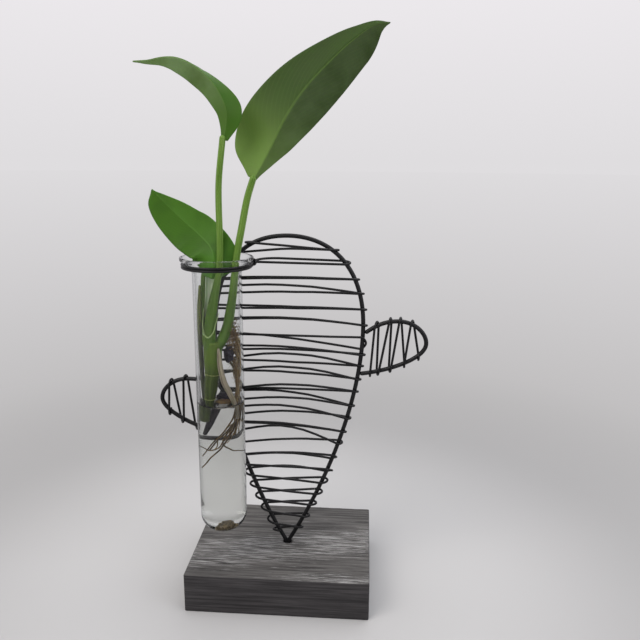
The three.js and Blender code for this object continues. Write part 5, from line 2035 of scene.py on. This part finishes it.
@dataclass
class Roots:
    """The pale aerial root, the brown bundle with its fine hairs, and the trailing roots."""

    hair_count: int = 150
    curl_count: int = 96

    def around(self, pick: random.Random, middle: Vector, reach: Vector) -> Vector:
        """Picks a point in a lump-shaped space.

        Args:
            pick: The random numbers to use.
            middle: The middle of the space.
            reach: How far it reaches along each axis.

        Returns:
            The point in millimetres.
        """
        way = Vector((pick.uniform(-1, 1), pick.uniform(-1, 1), pick.uniform(-1, 1)))
        way = way.normalized() * pick.random() ** 0.5
        return middle + Vector((way.x * reach.x, way.y * reach.y, way.z * reach.z))

    def wavy(
        self, stops: Sequence[tuple[float, float, float]], steps: int, sway: float, seed: float,
    ) -> list[Vector]:
        """Runs a root through its stops with small bends of its own.

        Args:
            stops: The places that it passes, measured from the middle of the tube's mouth.
            steps: How many steps to take.
            sway: How far the bends reach.
            seed: Tells this root's bends from the others'.

        Returns:
            The points of its middle line.
        """
        route = smooth_route([in_tube(*stop) for stop in stops], steps)
        for number, point in enumerate(route[1:], 1):
            drift = noise.noise_vector(Vector((seed, number * 0.16, seed * 0.37)))
            point += drift * sway
        return route

    def build(self) -> None:
        """Grows all the roots."""
        aerial = self.wavy((
            (0.2, -3.2, 47.5), (0.9, -4.6, 51), (1.7, -5.4, 58), (3.4, -5.8, 64.5), (5.6, -5.6, 69.5),
            (7.3, -5.0, 73.5), (8.4, -4.1, 78), (8.7, -3.4, 84),
        ), 44, 0.2, 2.0)
        shape = new_mesh()
        add_rod(shape, aerial, self.aerial_radius, 18)
        Piece("pale_aerial_root", shape, PALE_ROOT_SKIN, Body.PLANT, "pale_root", ("aerial_root",)).place()
        self.bundle()
        self.trailing()

    def aerial_radius(self, share: float) -> float:
        """Gives the aerial root's radius, thickest in its upper half and a little uneven."""
        unevenness = 0.08 * noise.noise(Vector((share * 14, 0, 0)))
        return table((0.7, 1.25, 1.5, 1.4, 1.2, 0.9), share) * (1 + unevenness)

    def bundle(self) -> None:
        """Grows the brown bundle from its knot, with fine hairs along it."""
        pick = random.Random(5)
        main = (
            ((4.0, 2, 50), (7.6, 2.4, 50), (9.4, 1.2, 56), (9.7, 0.8, 64), (9.4, 0.5, 74), (7.4, 0.2, 86),
             (0.5, 1, 98)),
            ((4.0, 2.4, 52), (7.0, 3.4, 56), (8.6, 2.6, 62), (8.8, 2.2, 72), (6.4, 2.4, 84), (0, 3.6, 95),
             (-5, 3, 104)),
            ((4.0, 3, 53), (6.6, 4.6, 60), (7.6, 4.4, 68), (6.2, 4.2, 82), (3.6, 3.6, 96)),
            ((8.6, 1, 38), (9.8, 0.2, 47), (9.9, -1.0, 58), (9.4, -1.8, 70), (7.8, -1.6, 82),
             (6.0, -1.0, 94)),
            ((7.2, 3.4, 40), (8.4, 4.0, 46), (8.6, 4.0, 54), (8.2, 3.6, 66), (9.2, 1.8, 78),
             (8.6, 1.0, 88)),
        )
        shape = new_mesh()
        routes = [self.wavy(stops, 56, 0.7, 3.1 * number) for number, stops in enumerate(main)]
        for number, route in enumerate(routes):
            thick = 0.72 - 0.07 * number
            add_rod(shape, route, lambda share, foot=thick: lerp(foot, 0.28, share), 10)
        Piece(
            "brown_root_bundle", shape, BROWN_ROOT_SKIN, Body.PLANT, "brown_root", ("root_bundle",),
        ).place()
        thinner = new_mesh()
        for number, stops in enumerate(main + main[3:]):
            route = [self.kept_in_bore(p) for p in self.wavy(stops, 60, 2.2, 17.3 + 4.1 * number)]
            thick = pick.uniform(0.26, 0.42)
            add_rod(thinner, route[4:], lambda share, foot=thick: lerp(foot, 0.18, share), 8)
        Piece("ochre_root_strands", thinner, OCHRE_ROOT_SKIN, Body.PLANT, "brown_root").place()
        self.decayed_parts()
        curls = new_mesh()
        for _ in range(self.curl_count):
            self.add_curl(curls, pick)
        Piece("curled_root_hairs", curls, BROWN_ROOT_SKIN, Body.PLANT, "brown_root").place()
        hairs = new_mesh()
        for _ in range(self.hair_count):
            route = pick.choice(routes)
            start = route[pick.randrange(2, 40)]
            out = Vector((pick.uniform(-1, 1), pick.uniform(-1, 1), pick.uniform(-0.7, 0.9))).normalized()
            length = pick.uniform(1.6, 4.2)
            end = self.kept_in_bore(start + out * length)
            middle = start.lerp(end, 0.5) + Vector((0, 0, pick.uniform(-0.8, 0.8)))
            hair = smooth_route([start, middle, end], 5)
            add_rod(hairs, hair, lambda share: lerp(0.13, 0.07, share), 4, RodEnd.SQUARE)
        Piece("fine_root_hairs", hairs, PALE_ROOT_SKIN, Body.PLANT, "brown_root").place()

    def decayed_parts(self) -> None:
        """Grows the dark lump under the knot, the mat at the water's face and the strand below it."""
        dark = new_mesh()
        self.add_lump(dark, in_tube(5.0, -0.6, 50.5), Vector((2.5, 2.0, 4.0)))
        self.add_lump(dark, in_tube(1.2, 4.6, 75.6), Vector((4.3, 2.4, 2.5)))
        stops = ((-0.8, 4.0, 76), (-2.8, 3.4, 82), (-4.7, 2.6, 89), (-6.4, 2.2, 95))
        strand = smooth_route([in_tube(*stop) for stop in stops], 24)
        add_rod(dark, strand, lambda share: table((1.5, 1.6, 1.3, 0.7), share), 14)
        Piece("decayed_plant_parts", dark, DECAYED_SKIN, Body.PLANT, "brown_root").place()
        brown = new_mesh()
        self.add_lump(brown, in_tube(1.8, 0.6, 77.2), Vector((4.8, 2.6, 1.3)))
        Piece("brown_floating_mat", brown, BROWN_ROOT_SKIN, Body.PLANT, "brown_root").place()

    def add_lump(self, shape: BMesh, place: Vector, reach: Vector) -> None:
        """Adds one uneven lump.

        Args:
            shape: The mesh that takes the lump.
            place: Its middle.
            reach: How far it reaches along each axis.
        """
        lump = bmesh.ops.create_icosphere(shape, subdivisions=4, radius=1.0)["verts"]
        for vert in lump:
            vert.co *= 1 + 0.35 * noise.noise(vert.co * 1.7 + place)
        bmesh.ops.scale(shape, vec=reach, verts=lump)
        bmesh.ops.translate(shape, vec=place, verts=lump)

    def add_curl(self, shape: BMesh, pick: random.Random) -> None:
        """Adds one thin curled root to the knot.

        Args:
            shape: The mesh that takes the curl.
            pick: The random numbers to use.
        """
        middle = self.around(pick, in_tube(7.6, 0.6, 42), Vector((4.0, 4.2, 9.0)))
        across = Vector((pick.uniform(-1, 1), pick.uniform(-0.6, 0.6), pick.uniform(-1, 1))).normalized()
        other = across.cross(Vector((pick.uniform(-1, 1), -1, pick.uniform(-1, 1)))).normalized()
        size = pick.uniform(0.7, 1.8)
        turns = pick.uniform(0.5, 1.3)
        drift = Vector((pick.uniform(-1, 1), pick.uniform(-1, 1), pick.uniform(-3, 3)))
        route = []
        for step in range(13):
            share = step / 12
            angle = 2 * math.pi * turns * share
            turned = across * math.cos(angle) + other * math.sin(angle)
            route.append(self.kept_in_bore(middle + turned * size + drift * share))
        thick = pick.uniform(0.12, 0.24)
        add_rod(shape, route, lambda share: lerp(thick, thick * 0.6, share), 6, RodEnd.SQUARE)

    def kept_in_bore(self, point: Vector) -> Vector:
        """Pulls a point back inside the tube's bore where it would pass the wall.

        Args:
            point: The point.

        Returns:
            The point, or the nearest one inside.
        """
        out = Vector((point.x - TUBE_X, point.y - TUBE_Y, 0))
        most = TUBE_BORE_RADIUS - 0.6
        if out.length > most:
            kept = out * (most / out.length)
            return Vector((TUBE_X + kept.x, TUBE_Y + kept.y, point.z))
        return point

    def trailing(self) -> None:
        """Grows the fine trailing roots."""
        strands = (
            ((6.4, 0.4, 53), (8.8, -1.4, 58), (9.2, -2.8, 65), (8.2, -2.8, 75), (5, -2.2, 86),
             (-1, -2.6, 95), (-8, -3, 106)),
            ((6.4, 1.2, 54), (8.8, 0.2, 58), (9.6, -0.4, 65), (8.8, 0, 76), (6.0, 0.2, 88), (1, -0.6, 99),
             (-4, 0.4, 107), (-8, -0.2, 114)),
            ((7.4, -2.4, 74), (5.6, -1.4, 88), (1.5, -1.6, 97), (-3.5, -1.2, 103), (-9.2, -1.4, 101)),
            ((5.4, -1.0, 88), (0.0, 0.8, 99), (3.0, 2.4, 104), (9.8, 1.8, 105)),
        )
        shape = new_mesh()
        for number, stops in enumerate(strands):
            thick = 0.75 if number < 2 else 0.42
            route = self.wavy(stops, 56, 0.55, 9.3 + 2.7 * number)
            add_rod(shape, route, lambda share, foot=thick: lerp(foot, 0.26, share), 10)
        Piece(
            "trailing_root_strands", shape, BROWN_ROOT_SKIN, Body.PLANT, "brown_root", ("trailing_roots",),
        ).place()


def write_sizes() -> None:
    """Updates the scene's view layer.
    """
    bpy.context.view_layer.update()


def main() -> None:
    """Builds the planter piece by piece, then its studio."""
    logging.basicConfig(level=logging.INFO, format="%(message)s")
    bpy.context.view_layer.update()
    # Vector noise takes its offsets from the clock where it has no seed
    noise.seed_set(NOISE_SEED)
    PhotoCamera().build()
    Studio().build()
    WoodenBlock().build()
    wires = WireFrame()
    wires.build()
    NeckRing().build(Rail(wires.side(1, wires.right_belly), Axis.HEIGHT, 1))
    GlassTube().build()
    Cutting().build()
    Roots().build()
    bpy.context.view_layer.update()
    write_sizes()


if __name__ == "__main__":
    main()
